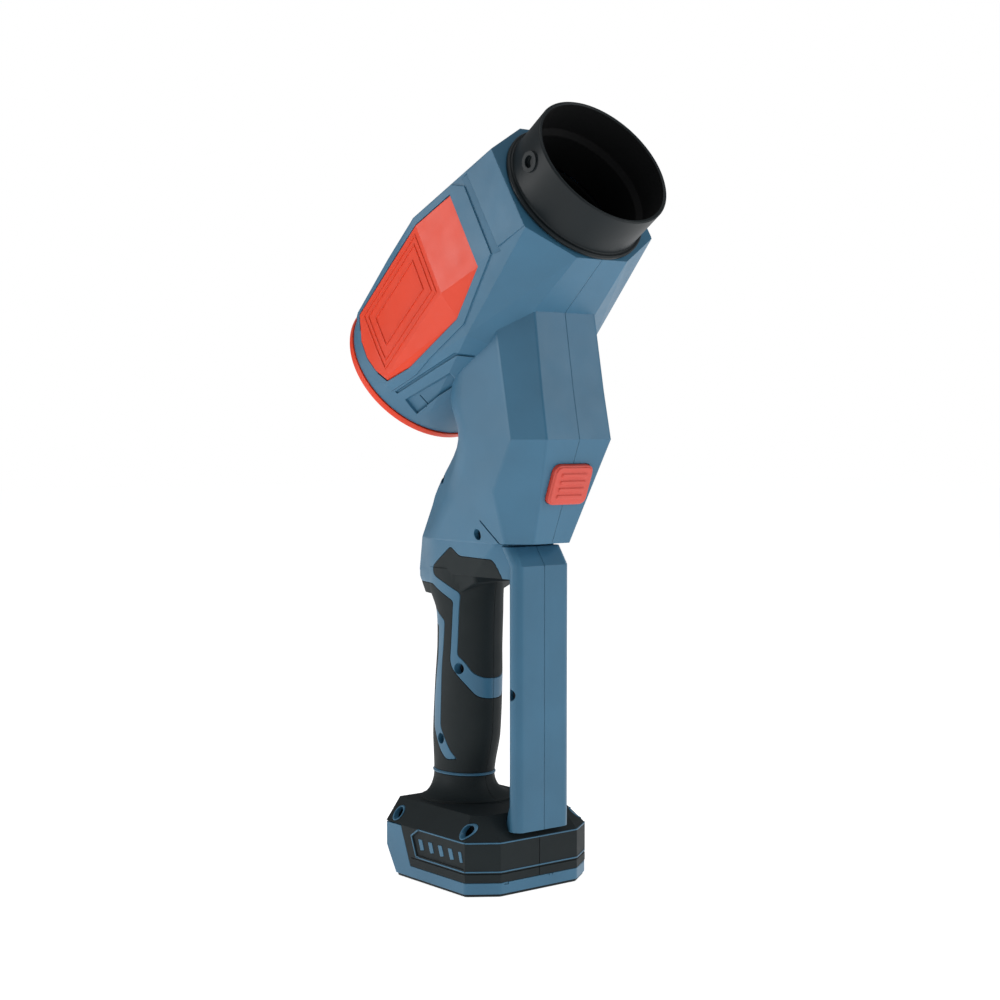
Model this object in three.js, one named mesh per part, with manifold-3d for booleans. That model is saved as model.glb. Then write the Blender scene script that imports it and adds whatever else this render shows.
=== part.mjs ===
// Hand-held cordless turbo blower that stands on its battery foot.
// Millimetres. +X is forward (outlet side), +Y is the tool's left, +Z is up.
// The origin is the middle of the foot's underside; the tool is symmetric about y = 0.
// The fan parts are laid out in a duct frame: its x runs along the duct, its z is "up" across it.

import * as THREE from "three";
import { ConvexGeometry } from "three/addons/geometries/ConvexGeometry.js";
import { mergeVertices } from "three/addons/utils/BufferGeometryUtils.js";
import Module from "manifold-3d";

const wasm = await Module();
wasm.setup();

// ---------------------------------------------------------------- clearances and walls
const GAP = 0.3; // between two pieces that touch
const SEAM = 0.3; // between the left and the right shell
const RUNNING = 0.8; // between the impeller's blades and the duct
const SLIDING = 0.5; // between the battery pack and the shoe
const WALL = 2.6; // housing shells
const SHOE_WALL = 2.2; // housing around the pack
const NECK_WALL = 4; // neck and chin, where the rubber is let in
const RUBBER = 2.2; // overmould on the handle and the foot
const PACK_WALL = 1.8;
const PLATE = 1.8;

// ---------------------------------------------------------------- battery cells
const CELL_RADIUS = 9;
const CELL_LENGTH = 65;
const CELL_PITCH = 2 * CELL_RADIUS + 0.6;
const CELLS = 3;
const CELL_END_ROOM = 2.5; // contacts and wires at each end of a cell

// ---------------------------------------------------------------- foot
const CORE_INSET = RUBBER + GAP + SHOE_WALL + SLIDING; // foot's outside to the pack's core
const FOOT_WIDTH = CELL_LENGTH + 2 * (CELL_END_ROOM + PACK_WALL + CORE_INSET);
const FOOT_FRONT = 36; // front face of the foot
const FOOT_REAR = -49;
const FOOT_FRONT_CHAMFER = 11; // along x
const FRONT_CHAMFER_WIDTH = 15.5; // along y
const FOOT_REAR_CHAMFER = 2;
const REAR_CHAMFER_WIDTH = 6;
const PAD_HEIGHT = 1.2; // dark sole under the pack
const STRIP_TOP = 7.4; // top of the pack's tray edge
const BAND_TOP = 28.6; // where the shoulder starts
const SHOULDER_RISE = 12.4;
const FOOT_TOP = BAND_TOP + SHOULDER_RISE; // top of the shoulder
const SHOULDER_INSET = 10;
const REAR_SLOPE_TOP = 20; // the pack's back is cut away below this height
const REAR_SLOPE_RUN = 12.7;
const BLOCK_LENGTH = 25; // rear block of the pack, at its foot
const BLOCK_LEAN = 9; // the pack's rear block leans back by this much

// ---------------------------------------------------------------- handle
const GRIP_LENGTH = 126; // foot top to the roof of the finger opening
const GRIP_X = -25; // middle of the grip
const GRIP_DEPTH = 44; // along x
const GRIP_WIDTH = 32; // along y
const RING_HEIGHT = 1.6; // thin ring at the grip's base
const STRUT_FRONT = 40;
const STRUT_DEPTH = 16;
const STRUT_FRONT_WIDTH = 30;
const STRUT_WIDTH = 38;
const STRUT_BOTTOM = BAND_TOP + 4.4; // the strut is rooted in the shoulder
const NECK_WIDTH = 44;
const TANG = 37; // how far the tang reaches back from the grip's middle

// ---------------------------------------------------------------- chin
const CHIN_WIDTH = 64;
const CHIN_FLAT = 44; // width of the front flat
const CHIN_FACE = 68; // foremost edge, at the crease
const CHIN_LOW_HEIGHT = 55;
const CHIN_HIGH_HEIGHT = 63;
const ROOF_HEIGHT = 19; // finger opening's roof to the chin's underside

// ---------------------------------------------------------------- duct and head
const DUCT_TILT = THREE.MathUtils.degToRad(32.8);
const DUCT_ABOVE_CHIN = 22;
const COLLAR_RADIUS = 39.1;
const COLLAR_WALL = 2;
const COLLAR_LENGTH = 25;
const FLANGE_LIP = 2.4;
const FLANGE_THICKNESS = 2.5;
const SPIGOT_LENGTH = 15;
const BOSS_PROUD = 1;
const BOSS_RISE = 4; // bayonet bosses sit this far above the duct's axis
const HEAD_FRONT = 75; // front face, along the duct
const HEAD_MIDDLE = 8; // widest section
const HEAD_HAUNCH = -64; // where the side flats end
const HEAD_REAR = -78;
const INLET_RADIUS = 47.7;
const INLET_RING_LENGTH = 5;
const INLET_RING_WALL = 3.4;
const FAN_RADIUS = 33; // bore of the fan duct
const DUCT_WALL = 2;
const BELL_LENGTH = 26;
const BLADES = 9;
const VANES = 7;
const MOTOR_RADIUS = 17;
const MOTOR_LENGTH = 42;
const SHAFT_RADIUS = 2.5;
const SHAFT_REACH = 24; // the shaft stands this far out of the motor, for the impeller

// ---------------------------------------------------------------- power button
const BUTTON_WIDTH = 26;
const BUTTON_HEIGHT = 22;
const BUTTON_CORNER = 4.5;
const BUTTON_PROUD = 3.4;
const BUTTON_TRAVEL = 3;
const BUTTON_LIP = 1.6;
const BUTTON_RIBS = 4;

// ---------------------------------------------------------------- battery pack
const FIRST_CELL = FOOT_FRONT - CORE_INSET - PACK_WALL - CELL_RADIUS - 6;
const LATCH_WIDTH = 26;
const LATCH_HEIGHT = 5.4;

// ---------------------------------------------------------------- screws
const SCREW_HEAD_RADIUS = 2.7;
const SCREW_HEAD_LENGTH = 2.4;
const SCREW_RADIUS = 1.4;
const SCREW_LENGTH = 16;
const BOSS_RADIUS = 3.8;

// ---------------------------------------------------------------- heights that follow
const ROOF = FOOT_TOP + GRIP_LENGTH; // roof of the finger opening
const CHIN_BOTTOM = ROOF + ROOF_HEIGHT;
const CREASE = CHIN_BOTTOM + CHIN_LOW_HEIGHT;
const CHIN_TOP = CREASE + CHIN_HIGH_HEIGHT;
const DUCT_HEIGHT = CHIN_TOP + DUCT_ABOVE_CHIN;
const SHARE = GRIP_LENGTH / 100; // one hundredth of the finger opening's height
const FLANGE_RADIUS = COLLAR_RADIUS + FLANGE_LIP;
const FAR = 400; // longer than any piece, for cutting tools

const material = (color, roughness, metalness = 0) =>
  new THREE.MeshStandardMaterial({ color, roughness, metalness });
const bluePlastic = material(0x4b738c, 0.45);
const blackRubber = material(0x2e3436, 0.75);
const orangePlastic = material(0xe24b2d, 0.4);
const buttonPlastic = material(0xd14f3e, 0.5);
const satinBlack = material(0x2a3032, 0.4);
const darkPlastic = material(0x1c1f21, 0.6);
const steel = material(0xb4b8bc, 0.3, 1);
const aluminium = material(0xc6cace, 0.35, 1);
const copper = material(0xb8693a, 0.4, 1);
const boardGreen = material(0x1f5b3a, 0.6);
const cellWrap = material(0x2f6fa8, 0.4);
const brass = material(0xc9a14a, 0.35, 1);

// ================================================================ solids
function solid(geometry) {
  const bare = geometry.index ? geometry.toNonIndexed() : geometry.clone();
  for (const name of Object.keys(bare.attributes)) {
    if (name !== "position") bare.deleteAttribute(name);
  }
  const merged = mergeVertices(bare, 1e-4);
  const mesh = new wasm.Mesh({
    numProp: 3,
    vertProperties: new Float32Array(merged.attributes.position.array),
    triVerts: new Uint32Array(merged.index.array),
  });
  return new wasm.Manifold(mesh);
}

function geometryOf(manifold) {
  const mesh = manifold.getMesh();
  const geometry = new THREE.BufferGeometry();
  geometry.setAttribute("position", new THREE.BufferAttribute(mesh.vertProperties, 3));
  geometry.setIndex(new THREE.BufferAttribute(mesh.triVerts, 1));
  geometry.computeVertexNormals();
  return geometry;
}

const join = (...pieces) => pieces.reduce((sum, piece) => sum.add(piece));

// Cuts along faces that nearly coincide leave slivers; this keeps the piece itself.
const mainBody = (piece) =>
  piece.decompose().reduce((best, body) => (body.volume() > best.volume() ? body : best));

const hull = (points) => solid(new ConvexGeometry(points));

function box(x0, x1, y0, y1, z0, z1) {
  const geometry = new THREE.BoxGeometry(x1 - x0, y1 - y0, z1 - z0);
  geometry.translate((x0 + x1) / 2, (y0 + y1) / 2, (z0 + z1) / 2);
  return geometry;
}

// A cylinder or cone along y from y0 to y1.
function crossPin(x, z, radius, y0, y1, sides = 12) {
  const geometry = new THREE.CylinderGeometry(radius, radius, y1 - y0, sides);
  geometry.translate(x, (y0 + y1) / 2, z);
  return geometry;
}

// A round piece about the x axis from a closed list of [radius, x].
function turned(profile, sides = 24) {
  const points = profile.map(([radius, x]) => new THREE.Vector2(radius, x));
  if (THREE.ShapeUtils.area(points) < 0) points.reverse();
  const geometry = new THREE.LatheGeometry([...points, points[0].clone()], sides);
  geometry.rotateZ(-Math.PI / 2);
  return geometry;
}

// An outline of [x, z] points pushed through along y from y0 to y1.
function sidePrism(outline, y0, y1) {
  const shape = new THREE.Shape(outline.map(([x, z]) => new THREE.Vector2(x, z)));
  const geometry = new THREE.ExtrudeGeometry(shape, { depth: y1 - y0, bevelEnabled: false });
  geometry.rotateX(Math.PI / 2);
  geometry.translate(0, y1, 0);
  return geometry;
}

// Moves every edge of a closed outline outwards by the given distance.
function offsetOutline(outline, distance) {
  const turn = THREE.ShapeUtils.isClockWise(outline.map(([x, y]) => new THREE.Vector2(x, y)));
  const sign = turn ? -1 : 1;
  const edges = outline.map(([x, y], i) => {
    const [nextX, nextY] = outline[(i + 1) % outline.length];
    const length = Math.hypot(nextX - x, nextY - y);
    const normal = [(sign * (nextY - y)) / length, (-sign * (nextX - x)) / length];
    return { normal, reach: normal[0] * x + normal[1] * y + distance };
  });
  return edges.map((edge, i) => {
    const before = edges[(i + edges.length - 1) % edges.length];
    const [a, b] = before.normal;
    const [c, d] = edge.normal;
    const scale = a * d - b * c;
    if (Math.abs(scale) < 1e-6) return [outline[i][0] + a * distance, outline[i][1] + b * distance];
    return [
      (before.reach * d - b * edge.reach) / scale,
      (a * edge.reach - before.reach * c) / scale,
    ];
  });
}

// Half outlines are listed from front to rear on the +y side and mirrored here.
function mirrored(half) {
  const other = half.filter(([, y]) => y > 0).map(([x, y]) => [x, -y]);
  return [...half, ...other.reverse()];
}

// Joins level rings { z, outline } into one solid, a convex slice at a time.
function stack(rings, grow = 0) {
  const slices = [];
  for (let i = 0; i + 1 < rings.length; i++) {
    const points = [rings[i], rings[i + 1]].flatMap(({ z, outline }) =>
      offsetOutline(outline, grow).map(([x, y]) => new THREE.Vector3(x, y, z))
    );
    slices.push(hull(points));
  }
  return join(...slices);
}

// ================================================================ head, in the duct frame
const ductMatrix = new THREE.Matrix4()
  .makeTranslation(0, 0, DUCT_HEIGHT)
  .multiply(new THREE.Matrix4().makeRotationY(-DUCT_TILT));
const inDuct = (geometry) => solid(geometry.clone().applyMatrix4(ductMatrix));
const ductPoint = (x, y, z) => new THREE.Vector3(x, y, z).applyMatrix4(ductMatrix);

const HEAD_WIDTH = 2 * FLANGE_RADIUS + 3; // front face
const HEAD_MIDDLE_WIDTH = HEAD_WIDTH + 11;
const HEAD_HAUNCH_WIDTH = 2 * INLET_RADIUS - 4;

// Each ring: distance along the duct and the +y half of its outline, from top to bottom.
function headRings() {
  const front = HEAD_WIDTH / 2;
  const middle = HEAD_MIDDLE_WIDTH / 2;
  const haunch = HEAD_HAUNCH_WIDTH / 2;
  const round = [];
  const steps = 18;
  for (let i = 0; i <= steps; i++) {
    const angle = Math.PI * (0.5 - i / steps);
    const radius = INLET_RADIUS - 0.7;
    round.push([Math.max(0, radius * Math.cos(angle)), radius * Math.sin(angle)]);
  }
  return [
    { x: HEAD_FRONT, half: [[17, front - 0.5], [front, 26], [front, -24], [17, -front + 2]] },
    {
      x: HEAD_MIDDLE,
      half: [[22, 50], [middle, 33.5], [middle, -33], [middle - 3, -42], [24, -51]],
    },
    { x: HEAD_HAUNCH, half: [[24, 44], [haunch, 23.5], [haunch, -24], [24, -44]] },
    { x: HEAD_REAR, half: round },
  ];
}

function headHull(grow, frontX = HEAD_FRONT, rearX = HEAD_REAR) {
  const points = [];
  for (const { x, half } of headRings()) {
    let along = x;
    if (x === HEAD_FRONT) along = frontX;
    if (x === HEAD_REAR) along = rearX;
    const outline = mirrored(half.map(([y, z]) => [z, y]));
    for (const [z, y] of offsetOutline(outline, grow)) points.push(ductPoint(along, y, z));
  }
  return hull(points);
}

// ================================================================ handle rings
function ellipse(x, depth, width, sides = 16) {
  const outline = [];
  for (let i = 0; i < sides; i++) {
    const angle = (2 * Math.PI * (i + 0.5)) / sides;
    outline.push([x + (depth / 2) * Math.cos(angle), (width / 2) * Math.sin(angle)]);
  }
  return outline;
}

// Level rings up the grip, from the flare on the foot to the roof of the finger opening.
const gripRings = [
  { z: FOOT_TOP - 1, outline: ellipse(GRIP_X + 1, GRIP_DEPTH + 5, GRIP_WIDTH + 18) },
  { z: FOOT_TOP + 2, outline: ellipse(GRIP_X - 2.5, GRIP_DEPTH, GRIP_WIDTH + 7) },
  { z: FOOT_TOP + 7, outline: ellipse(GRIP_X - 5, GRIP_DEPTH - 5, GRIP_WIDTH) },
  { z: FOOT_TOP + 12 * SHARE, outline: ellipse(GRIP_X - 5, GRIP_DEPTH - 5, GRIP_WIDTH - 1) },
  { z: FOOT_TOP + 28 * SHARE, outline: ellipse(GRIP_X - 3, GRIP_DEPTH + 2, GRIP_WIDTH) },
  { z: FOOT_TOP + 52 * SHARE, outline: ellipse(GRIP_X - 1, GRIP_DEPTH + 1, GRIP_WIDTH + 0.6) },
  { z: FOOT_TOP + 68 * SHARE, outline: ellipse(GRIP_X, GRIP_DEPTH - 1, GRIP_WIDTH) },
  { z: FOOT_TOP + 83 * SHARE, outline: ellipse(GRIP_X, GRIP_DEPTH, GRIP_WIDTH + 1) },
  { z: FOOT_TOP + 92 * SHARE, outline: ellipse(GRIP_X - 3, GRIP_DEPTH + 8, GRIP_WIDTH + 2) },
  { z: ROOF + 3, outline: ellipse(GRIP_X - 3, GRIP_DEPTH + 12, GRIP_WIDTH + 4) },
];

const roofHalf = [
  [STRUT_FRONT - 8, 14],
  [0, NECK_WIDTH / 2 - 5],
  [GRIP_X - 12, NECK_WIDTH / 2 - 5],
  [GRIP_X - TANG, 9],
];
const neckRings = [
  {
    z: ROOF - 13,
    outline: mirrored([
      [GRIP_X + 6, 15],
      [GRIP_X - 16, 14],
      [GRIP_X - TANG + 4, 8],
    ]),
  },
  {
    z: ROOF - 4,
    outline: mirrored([
      [0, 15],
      [GRIP_X - 16, 16],
      [GRIP_X - TANG, 9],
    ]),
  },
  {
    z: ROOF + 1,
    outline: mirrored([
      [0, 16],
      [GRIP_X - 13, NECK_WIDTH / 2 - 5],
      [GRIP_X - TANG, 9],
    ]),
  },
];
const neckUpperRings = [
  { z: ROOF, outline: mirrored(roofHalf) },
  {
    z: CHIN_BOTTOM,
    outline: mirrored([
      [CHIN_FACE - 21.5, 12],
      [STRUT_FRONT - 7, NECK_WIDTH / 2],
      [GRIP_X - 12, NECK_WIDTH / 2 - 2],
      [GRIP_X - TANG + 5, 10],
    ]),
  },
  {
    z: CHIN_BOTTOM + CHIN_LOW_HEIGHT / 2,
    outline: mirrored([
      [CHIN_FACE - 10.8, 17],
      [STRUT_FRONT - 9, CHIN_WIDTH / 2 - 4],
      [GRIP_X + 14, CHIN_WIDTH / 2 - 8],
      [GRIP_X - TANG + 22, 12],
    ]),
  },
  {
    z: CREASE,
    outline: mirrored([
      [CHIN_FACE, CHIN_FLAT / 2],
      [CHIN_FACE - 17, CHIN_WIDTH / 2],
      [5, CHIN_WIDTH / 2 - 1],
      [GRIP_X - TANG + 48, 16],
    ]),
  },
  {
    z: CHIN_TOP + 6,
    outline: mirrored([
      [CHIN_FACE - 12.2, CHIN_FLAT / 2 - 1.5],
      [CHIN_FACE - 31, CHIN_WIDTH / 2],
      [10, CHIN_WIDTH / 2 - 1],
      [0, 16],
    ]),
  },
];

// ================================================================ foot outlines
const footHalf = [
  [FOOT_FRONT, FOOT_WIDTH / 2 - FRONT_CHAMFER_WIDTH],
  [FOOT_FRONT - FOOT_FRONT_CHAMFER, FOOT_WIDTH / 2],
  [FOOT_REAR + FOOT_REAR_CHAMFER, FOOT_WIDTH / 2],
  [FOOT_REAR, FOOT_WIDTH / 2 - REAR_CHAMFER_WIDTH],
];
const footOutline = mirrored(footHalf);
const footBlock = (grow, z0, z1) =>
  stack([z0, z1].map((z) => ({ z, outline: footOutline })), grow);

// The shoe as a solid block: band below, sloped shoulder above.
function shoeBlock(grow, bottom, top) {
  const crown = mirrored([
    [FOOT_FRONT - SHOULDER_INSET - 2, FOOT_WIDTH / 2 - SHOULDER_INSET - 7],
    [FOOT_FRONT - SHOULDER_INSET - 9, FOOT_WIDTH / 2 - SHOULDER_INSET],
    [FOOT_REAR + 1.5, FOOT_WIDTH / 2 - SHOULDER_INSET],
  ]);
  return stack(
    [
      { z: bottom, outline: footOutline },
      { z: BAND_TOP + (top - FOOT_TOP) / 2, outline: footOutline },
      { z: top, outline: crown },
    ],
    grow
  );
}

// Side view of the pack's rear block, leaning back with the shoe's end.
const blockFoot = FOOT_REAR + BLOCK_LENGTH;
const blockOutline = [
  [blockFoot, STRIP_TOP],
  [blockFoot - BLOCK_LEAN, BAND_TOP],
  [-FAR, BAND_TOP],
  [-FAR, STRIP_TOP],
];
const rearSlope = [
  [FOOT_REAR + REAR_SLOPE_RUN, -1],
  [FOOT_REAR + REAR_SLOPE_RUN, 0],
  [FOOT_REAR, REAR_SLOPE_TOP],
  [-FAR, REAR_SLOPE_TOP],
  [-FAR, -1],
];

// ================================================================ strut
function strutOutline(front, extra = 0) {
  const half = STRUT_WIDTH / 2;
  return mirrored([
    [front, STRUT_FRONT_WIDTH / 2],
    [front - 2, half - 1.2],
    [front - 5.5, half],
    [front - STRUT_DEPTH + 2 - extra, half - 6.5 + extra],
    [front - STRUT_DEPTH - extra, 9 + extra],
  ]);
}
const strutBody = (grow) =>
  stack(
    strutRings.map(({ z, outline }) => ({ z: z === STRUT_BOTTOM ? z - grow : z, outline })),
    grow
  );
const strutRings = [
  { z: STRUT_BOTTOM, outline: strutOutline(STRUT_FRONT, 2) },
  { z: FOOT_TOP + 4, outline: strutOutline(STRUT_FRONT) },
  { z: ROOF + 7, outline: strutOutline(STRUT_FRONT) },
  { z: ROOF + 17, outline: strutOutline(STRUT_FRONT - 7) },
];

// ================================================================ rubber areas, side view
const fingerArea = [
  [GRIP_X + 8, ROOF + 15],
  [GRIP_X - 11.5, ROOF + 3],
  [GRIP_X - 10.5, ROOF - 1.5],
  [GRIP_X, ROOF - 4.4 * SHARE],
  [GRIP_X + 10.5, ROOF - 8.3 * SHARE],
  [GRIP_X + 8, ROOF - 35.7 * SHARE],
  [GRIP_X + 12.5, ROOF - 38.5 * SHARE],
  [GRIP_X + 16.5, ROOF - 43.3 * SHARE],
  [GRIP_X + 21, ROOF - 45.6 * SHARE],
  [GRIP_X + 40, ROOF - 46 * SHARE],
  [GRIP_X + 49, ROOF - 4],
  [GRIP_X + 42, ROOF + 9.5],
  [GRIP_X + 15, ROOF + 10],
];
const SLEEVE_BOTTOM = FOOT_TOP + 12 * SHARE;
const sleeveArea = [
  [GRIP_X - 60, ROOF - 5.6 * SHARE],
  [GRIP_X - 13, ROOF - 5.6 * SHARE],
  [GRIP_X + 5.5, ROOF - 12.3 * SHARE],
  [GRIP_X + 2.5, ROOF - 38.1 * SHARE],
  [GRIP_X + 4, ROOF - 41.7 * SHARE],
  [GRIP_X + 13, ROOF - 48.8 * SHARE],
  [GRIP_X + 18, ROOF - 54 * SHARE],
  [GRIP_X + 24, ROOF - 55.6 * SHARE],
  [GRIP_X + 40, ROOF - 55.6 * SHARE],
  [GRIP_X + 40, SLEEVE_BOTTOM],
  [GRIP_X - 60, SLEEVE_BOTTOM],
];
const stripeArea = [
  [GRIP_X - 60, ROOF - 16.7 * SHARE],
  [GRIP_X - 12, ROOF - 16.7 * SHARE],
  [GRIP_X - 1.5, ROOF - 21 * SHARE],
  [GRIP_X - 4.5, ROOF - 39.7 * SHARE],
  [GRIP_X - 6, ROOF - 68.3 * SHARE],
  [GRIP_X + 2, ROOF - 78.6 * SHARE],
  [GRIP_X + 6.5, ROOF - 82.1 * SHARE],
  [GRIP_X - 1.5, ROOF - 82.9 * SHARE],
  [GRIP_X - 6.5, ROOF - 79.4 * SHARE],
  [GRIP_X - 15, ROOF - 69 * SHARE],
  [GRIP_X - 15.5, ROOF - 57.9 * SHARE],
  [GRIP_X - 11, ROOF - 39.7 * SHARE],
  [GRIP_X - 9.5, ROOF - 23.8 * SHARE],
  [GRIP_X - 60, ROOF - 21.4 * SHARE],
];

// ================================================================ screws across the seam
// depth: how far out the screw's head sits on the right shell
const screwPlaces = [
  { name: "screw_neck_front", x: GRIP_X + 35, z: CHIN_BOTTOM + 4, depth: NECK_WIDTH / 2 - 3 },
  { name: "screw_neck_rear", x: GRIP_X - 5, z: CHIN_BOTTOM + 33, depth: 12.5 },
  { name: "screw_grip_upper", x: GRIP_X + 9, z: ROOF - 41.7 * SHARE, depth: GRIP_WIDTH / 2 - 4.5 },
  { name: "screw_grip_lower", x: GRIP_X - 6, z: ROOF - 73.8 * SHARE, depth: GRIP_WIDTH / 2 - 4 },
  {
    name: "screw_strut",
    x: STRUT_FRONT - 5.5,
    z: FOOT_TOP + 51.6 * SHARE,
    depth: STRUT_WIDTH / 2 - 4,
  },
  { name: "screw_foot_front", x: FOOT_FRONT - 15, z: BAND_TOP + 5, depth: FOOT_WIDTH / 2 - 9 },
  { name: "screw_foot_rear", x: FOOT_REAR + 9, z: BAND_TOP + 5, depth: FOOT_WIDTH / 2 - 9 },
];
const headScrewPlaces = [
  { name: "screw_head_front", x: HEAD_FRONT - 27, z: 41, depth: 20 },
  { name: "screw_head_rear", x: HEAD_HAUNCH + 18, z: 43, depth: 20 },
];
for (const { name, x, z, depth } of headScrewPlaces) {
  const place = ductPoint(x, 0, z);
  screwPlaces.push({ name, x: place.x, z: place.z, depth });
}

function screwBosses() {
  const posts = [];
  for (const { x, z, depth } of screwPlaces) {
    posts.push(solid(crossPin(x, z, BOSS_RADIUS, -depth - 1, depth + 1)));
  }
  return posts;
}

function screwHoles() {
  const holes = [];
  for (const { x, z, depth } of screwPlaces) {
    const head = crossPin(x, z, SCREW_HEAD_RADIUS + GAP, -FAR / 4, -depth + SCREW_HEAD_LENGTH + GAP);
    const pilot = crossPin(x, z, SCREW_RADIUS + GAP, -depth, SCREW_LENGTH - depth + 4);
    holes.push(solid(head), solid(pilot));
  }
  return holes;
}

function screwSolid({ x, z, depth }) {
  const head = crossPin(x, z, SCREW_HEAD_RADIUS, -depth, -depth + SCREW_HEAD_LENGTH);
  const shank = crossPin(x, z, SCREW_RADIUS, -depth + 1, SCREW_LENGTH - depth, 8);
  const driver = new THREE.CylinderGeometry(SCREW_RADIUS, SCREW_RADIUS, 2, 6);
  driver.translate(x, -depth, z);
  return join(solid(head), solid(shank)).subtract(solid(driver));
}

// ================================================================ power button frame
// The chin's lower front face leans; the button's frame has +x out of that face.
const FACE_RUN = 21.5;
const buttonTilt = Math.atan2(FACE_RUN, CHIN_LOW_HEIGHT);
const buttonZ = CHIN_BOTTOM + 0.58 * CHIN_LOW_HEIGHT;
const buttonX = CHIN_FACE - FACE_RUN * (1 - 0.58);
const buttonMatrix = new THREE.Matrix4()
  .makeTranslation(buttonX, 0, buttonZ)
  .multiply(new THREE.Matrix4().makeRotationY(buttonTilt));
const atButton = (geometry) => solid(geometry.clone().applyMatrix4(buttonMatrix));
const faceWall = NECK_WALL * Math.cos(buttonTilt);
const lipRear = -faceWall - GAP - 2;

function roundedRectangle(width, height, corner) {
  const shape = new THREE.Shape();
  const w = width / 2;
  const h = height / 2;
  const corners = [[w - corner, h - corner, 0], [corner - w, h - corner, 1]];
  corners.push([corner - w, corner - h, 2], [w - corner, corner - h, 3]);
  for (const [x, y, quarter] of corners) {
    const start = (quarter * Math.PI) / 2;
    shape.absarc(x, y, corner, start, start + Math.PI / 2, false);
  }
  return shape;
}

// A rounded rectangle in the y-z plane pushed along x from x0 to x1.
function facePlate(width, height, corner, x0, x1) {
  const shape = roundedRectangle(width, height, corner);
  const settings = { depth: x1 - x0, bevelEnabled: false, curveSegments: 3 };
  const geometry = new THREE.ExtrudeGeometry(shape, settings);
  geometry.rotateX(Math.PI / 2);
  geometry.rotateZ(Math.PI / 2);
  geometry.translate(x0, 0, 0);
  return geometry;
}

// ================================================================ housing shells
const handleBody = (grow) => join(stack(gripRings, grow), stack(neckRings, grow));
const neckBody = (grow) =>
  stack(
    neckUpperRings.map(({ z, outline }) => ({ z: z === ROOF ? z - grow : z, outline })),
    grow
  );
const areaPrism = (area) => solid(sidePrism(area, -FAR / 4, FAR / 4));

// Skin of the handle and neck between the given depth and the surface, or a little outside it.
function handleSkin(depth, outside = 0) {
  const outer = join(handleBody(outside), neckBody(outside));
  return outer.subtract(join(handleBody(-depth), neckBody(-depth)));
}

function sleevePrism(grow) {
  const sleeve = areaPrism(offsetOutline(sleeveArea, grow));
  return sleeve.subtract(areaPrism(offsetOutline(stripeArea, -grow)));
}

function shoulderSolid(grow, bottom, top) {
  const rearCut = solid(sidePrism(offsetOutline(blockOutline, GAP - grow), -FAR / 4, FAR / 4));
  return shoeBlock(grow, bottom, top).subtract(rearCut);
}

function housingSolid() {
  const core = -RUBBER - GAP;
  const shoeBottom = STRIP_TOP + GAP;
  const shoe = shoulderSolid(core, shoeBottom, FOOT_TOP + core);
  const gripStub = stack(gripRings.slice(0, 4), core);
  const gripBody = stack(gripRings.slice(3), 0).add(stack(neckRings));
  const outside = join(headHull(0), neckBody(0), gripBody, gripStub, strutBody(0), shoe);

  const headRoom = headHull(-WALL, HEAD_FRONT - WALL, HEAD_REAR - 2);
  const neckRoom = stack(
    neckUpperRings.map(({ z, outline }, i) => ({ z: i === 0 ? z + WALL : z, outline })),
    -NECK_WALL
  );
  const channel = stack(gripRings.slice(1), core - WALL);
  const shoeRoom = stack(
    [
      { z: shoeBottom - 1, outline: footOutline },
      { z: BAND_TOP + GAP, outline: footOutline },
    ],
    core - SHOE_WALL
  );
  const strutRoom = stack(
    strutRings.map(({ z, outline }) => ({ z: z === STRUT_BOTTOM ? z + 4 : z, outline })),
    -WALL
  );
  const inside = join(headRoom, neckRoom, channel, shoeRoom, strutRoom, terminalRoom());

  const bossPosts = join(...screwBosses()).subtract(inDuct(ductRoom()));
  const spigot = new THREE.CylinderGeometry(1, 1, 1, 48);
  spigot.rotateZ(Math.PI / 2);
  const bore = COLLAR_RADIUS - COLLAR_WALL - 0.3 + GAP;
  spigot.scale(2 * SPIGOT_LENGTH, bore, bore);
  spigot.translate(HEAD_FRONT, 0, 0);
  const buttonHole = facePlate(
    BUTTON_WIDTH + 2 * GAP,
    BUTTON_HEIGHT + 2 * GAP,
    BUTTON_CORNER + GAP,
    -14,
    BUTTON_PROUD + 4
  );
  const skin = handleSkin(RUBBER + GAP, 1);
  const pockets = join(
    skin.intersect(areaPrism(offsetOutline(fingerArea, GAP))),
    skin.intersect(sleevePrism(GAP)),
    panelSolid(GAP, 1)
  );
  return outside
    .subtract(inside)
    .add(mountRibs().intersect(neckBody(-1)))
    .add(bossPosts.intersect(join(headHull(-1), neckBody(-1), handleBody(-3), strutBody(-1))))
    .subtract(join(...screwHoles()))
    .subtract(inDuct(spigot))
    .subtract(atButton(buttonHole))
    .subtract(pockets);
}

function halfOf(body, left) {
  const edge = SEAM / 2;
  const [y0, y1] = left ? [edge, FAR] : [-FAR, -edge];
  return mainBody(body.intersect(solid(box(-FAR, FAR, y0, y1, -FAR, 2 * FAR))));
}

// ================================================================ rubber and panels
function bumperSolid() {
  const bottom = STRIP_TOP + GAP;
  const outer = shoulderSolid(0, bottom, FOOT_TOP).add(stack(gripRings.slice(0, 4)));
  const inner = shoeBlock(-RUBBER, bottom - 5, FOOT_TOP - RUBBER).add(
    stack(gripRings.slice(0, 4), -RUBBER)
  );
  const neckRing = solid(box(-FAR, FAR, -FAR, FAR, SLEEVE_BOTTOM - RING_HEIGHT - GAP, FAR));
  const channel = stack(gripRings.slice(0, 2), -RUBBER);
  return outer
    .subtract(inner)
    .subtract(channel)
    .subtract(neckRing)
    .subtract(strutBody(GAP))
    .subtract(solid(sidePrism(offsetOutline(blockOutline, GAP), -FAR / 4, FAR / 4)));
}

const fingerPad = () => handleSkin(RUBBER).intersect(areaPrism(fingerArea));
const sleevePad = () => handleSkin(RUBBER).intersect(sleevePrism(0));

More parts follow.
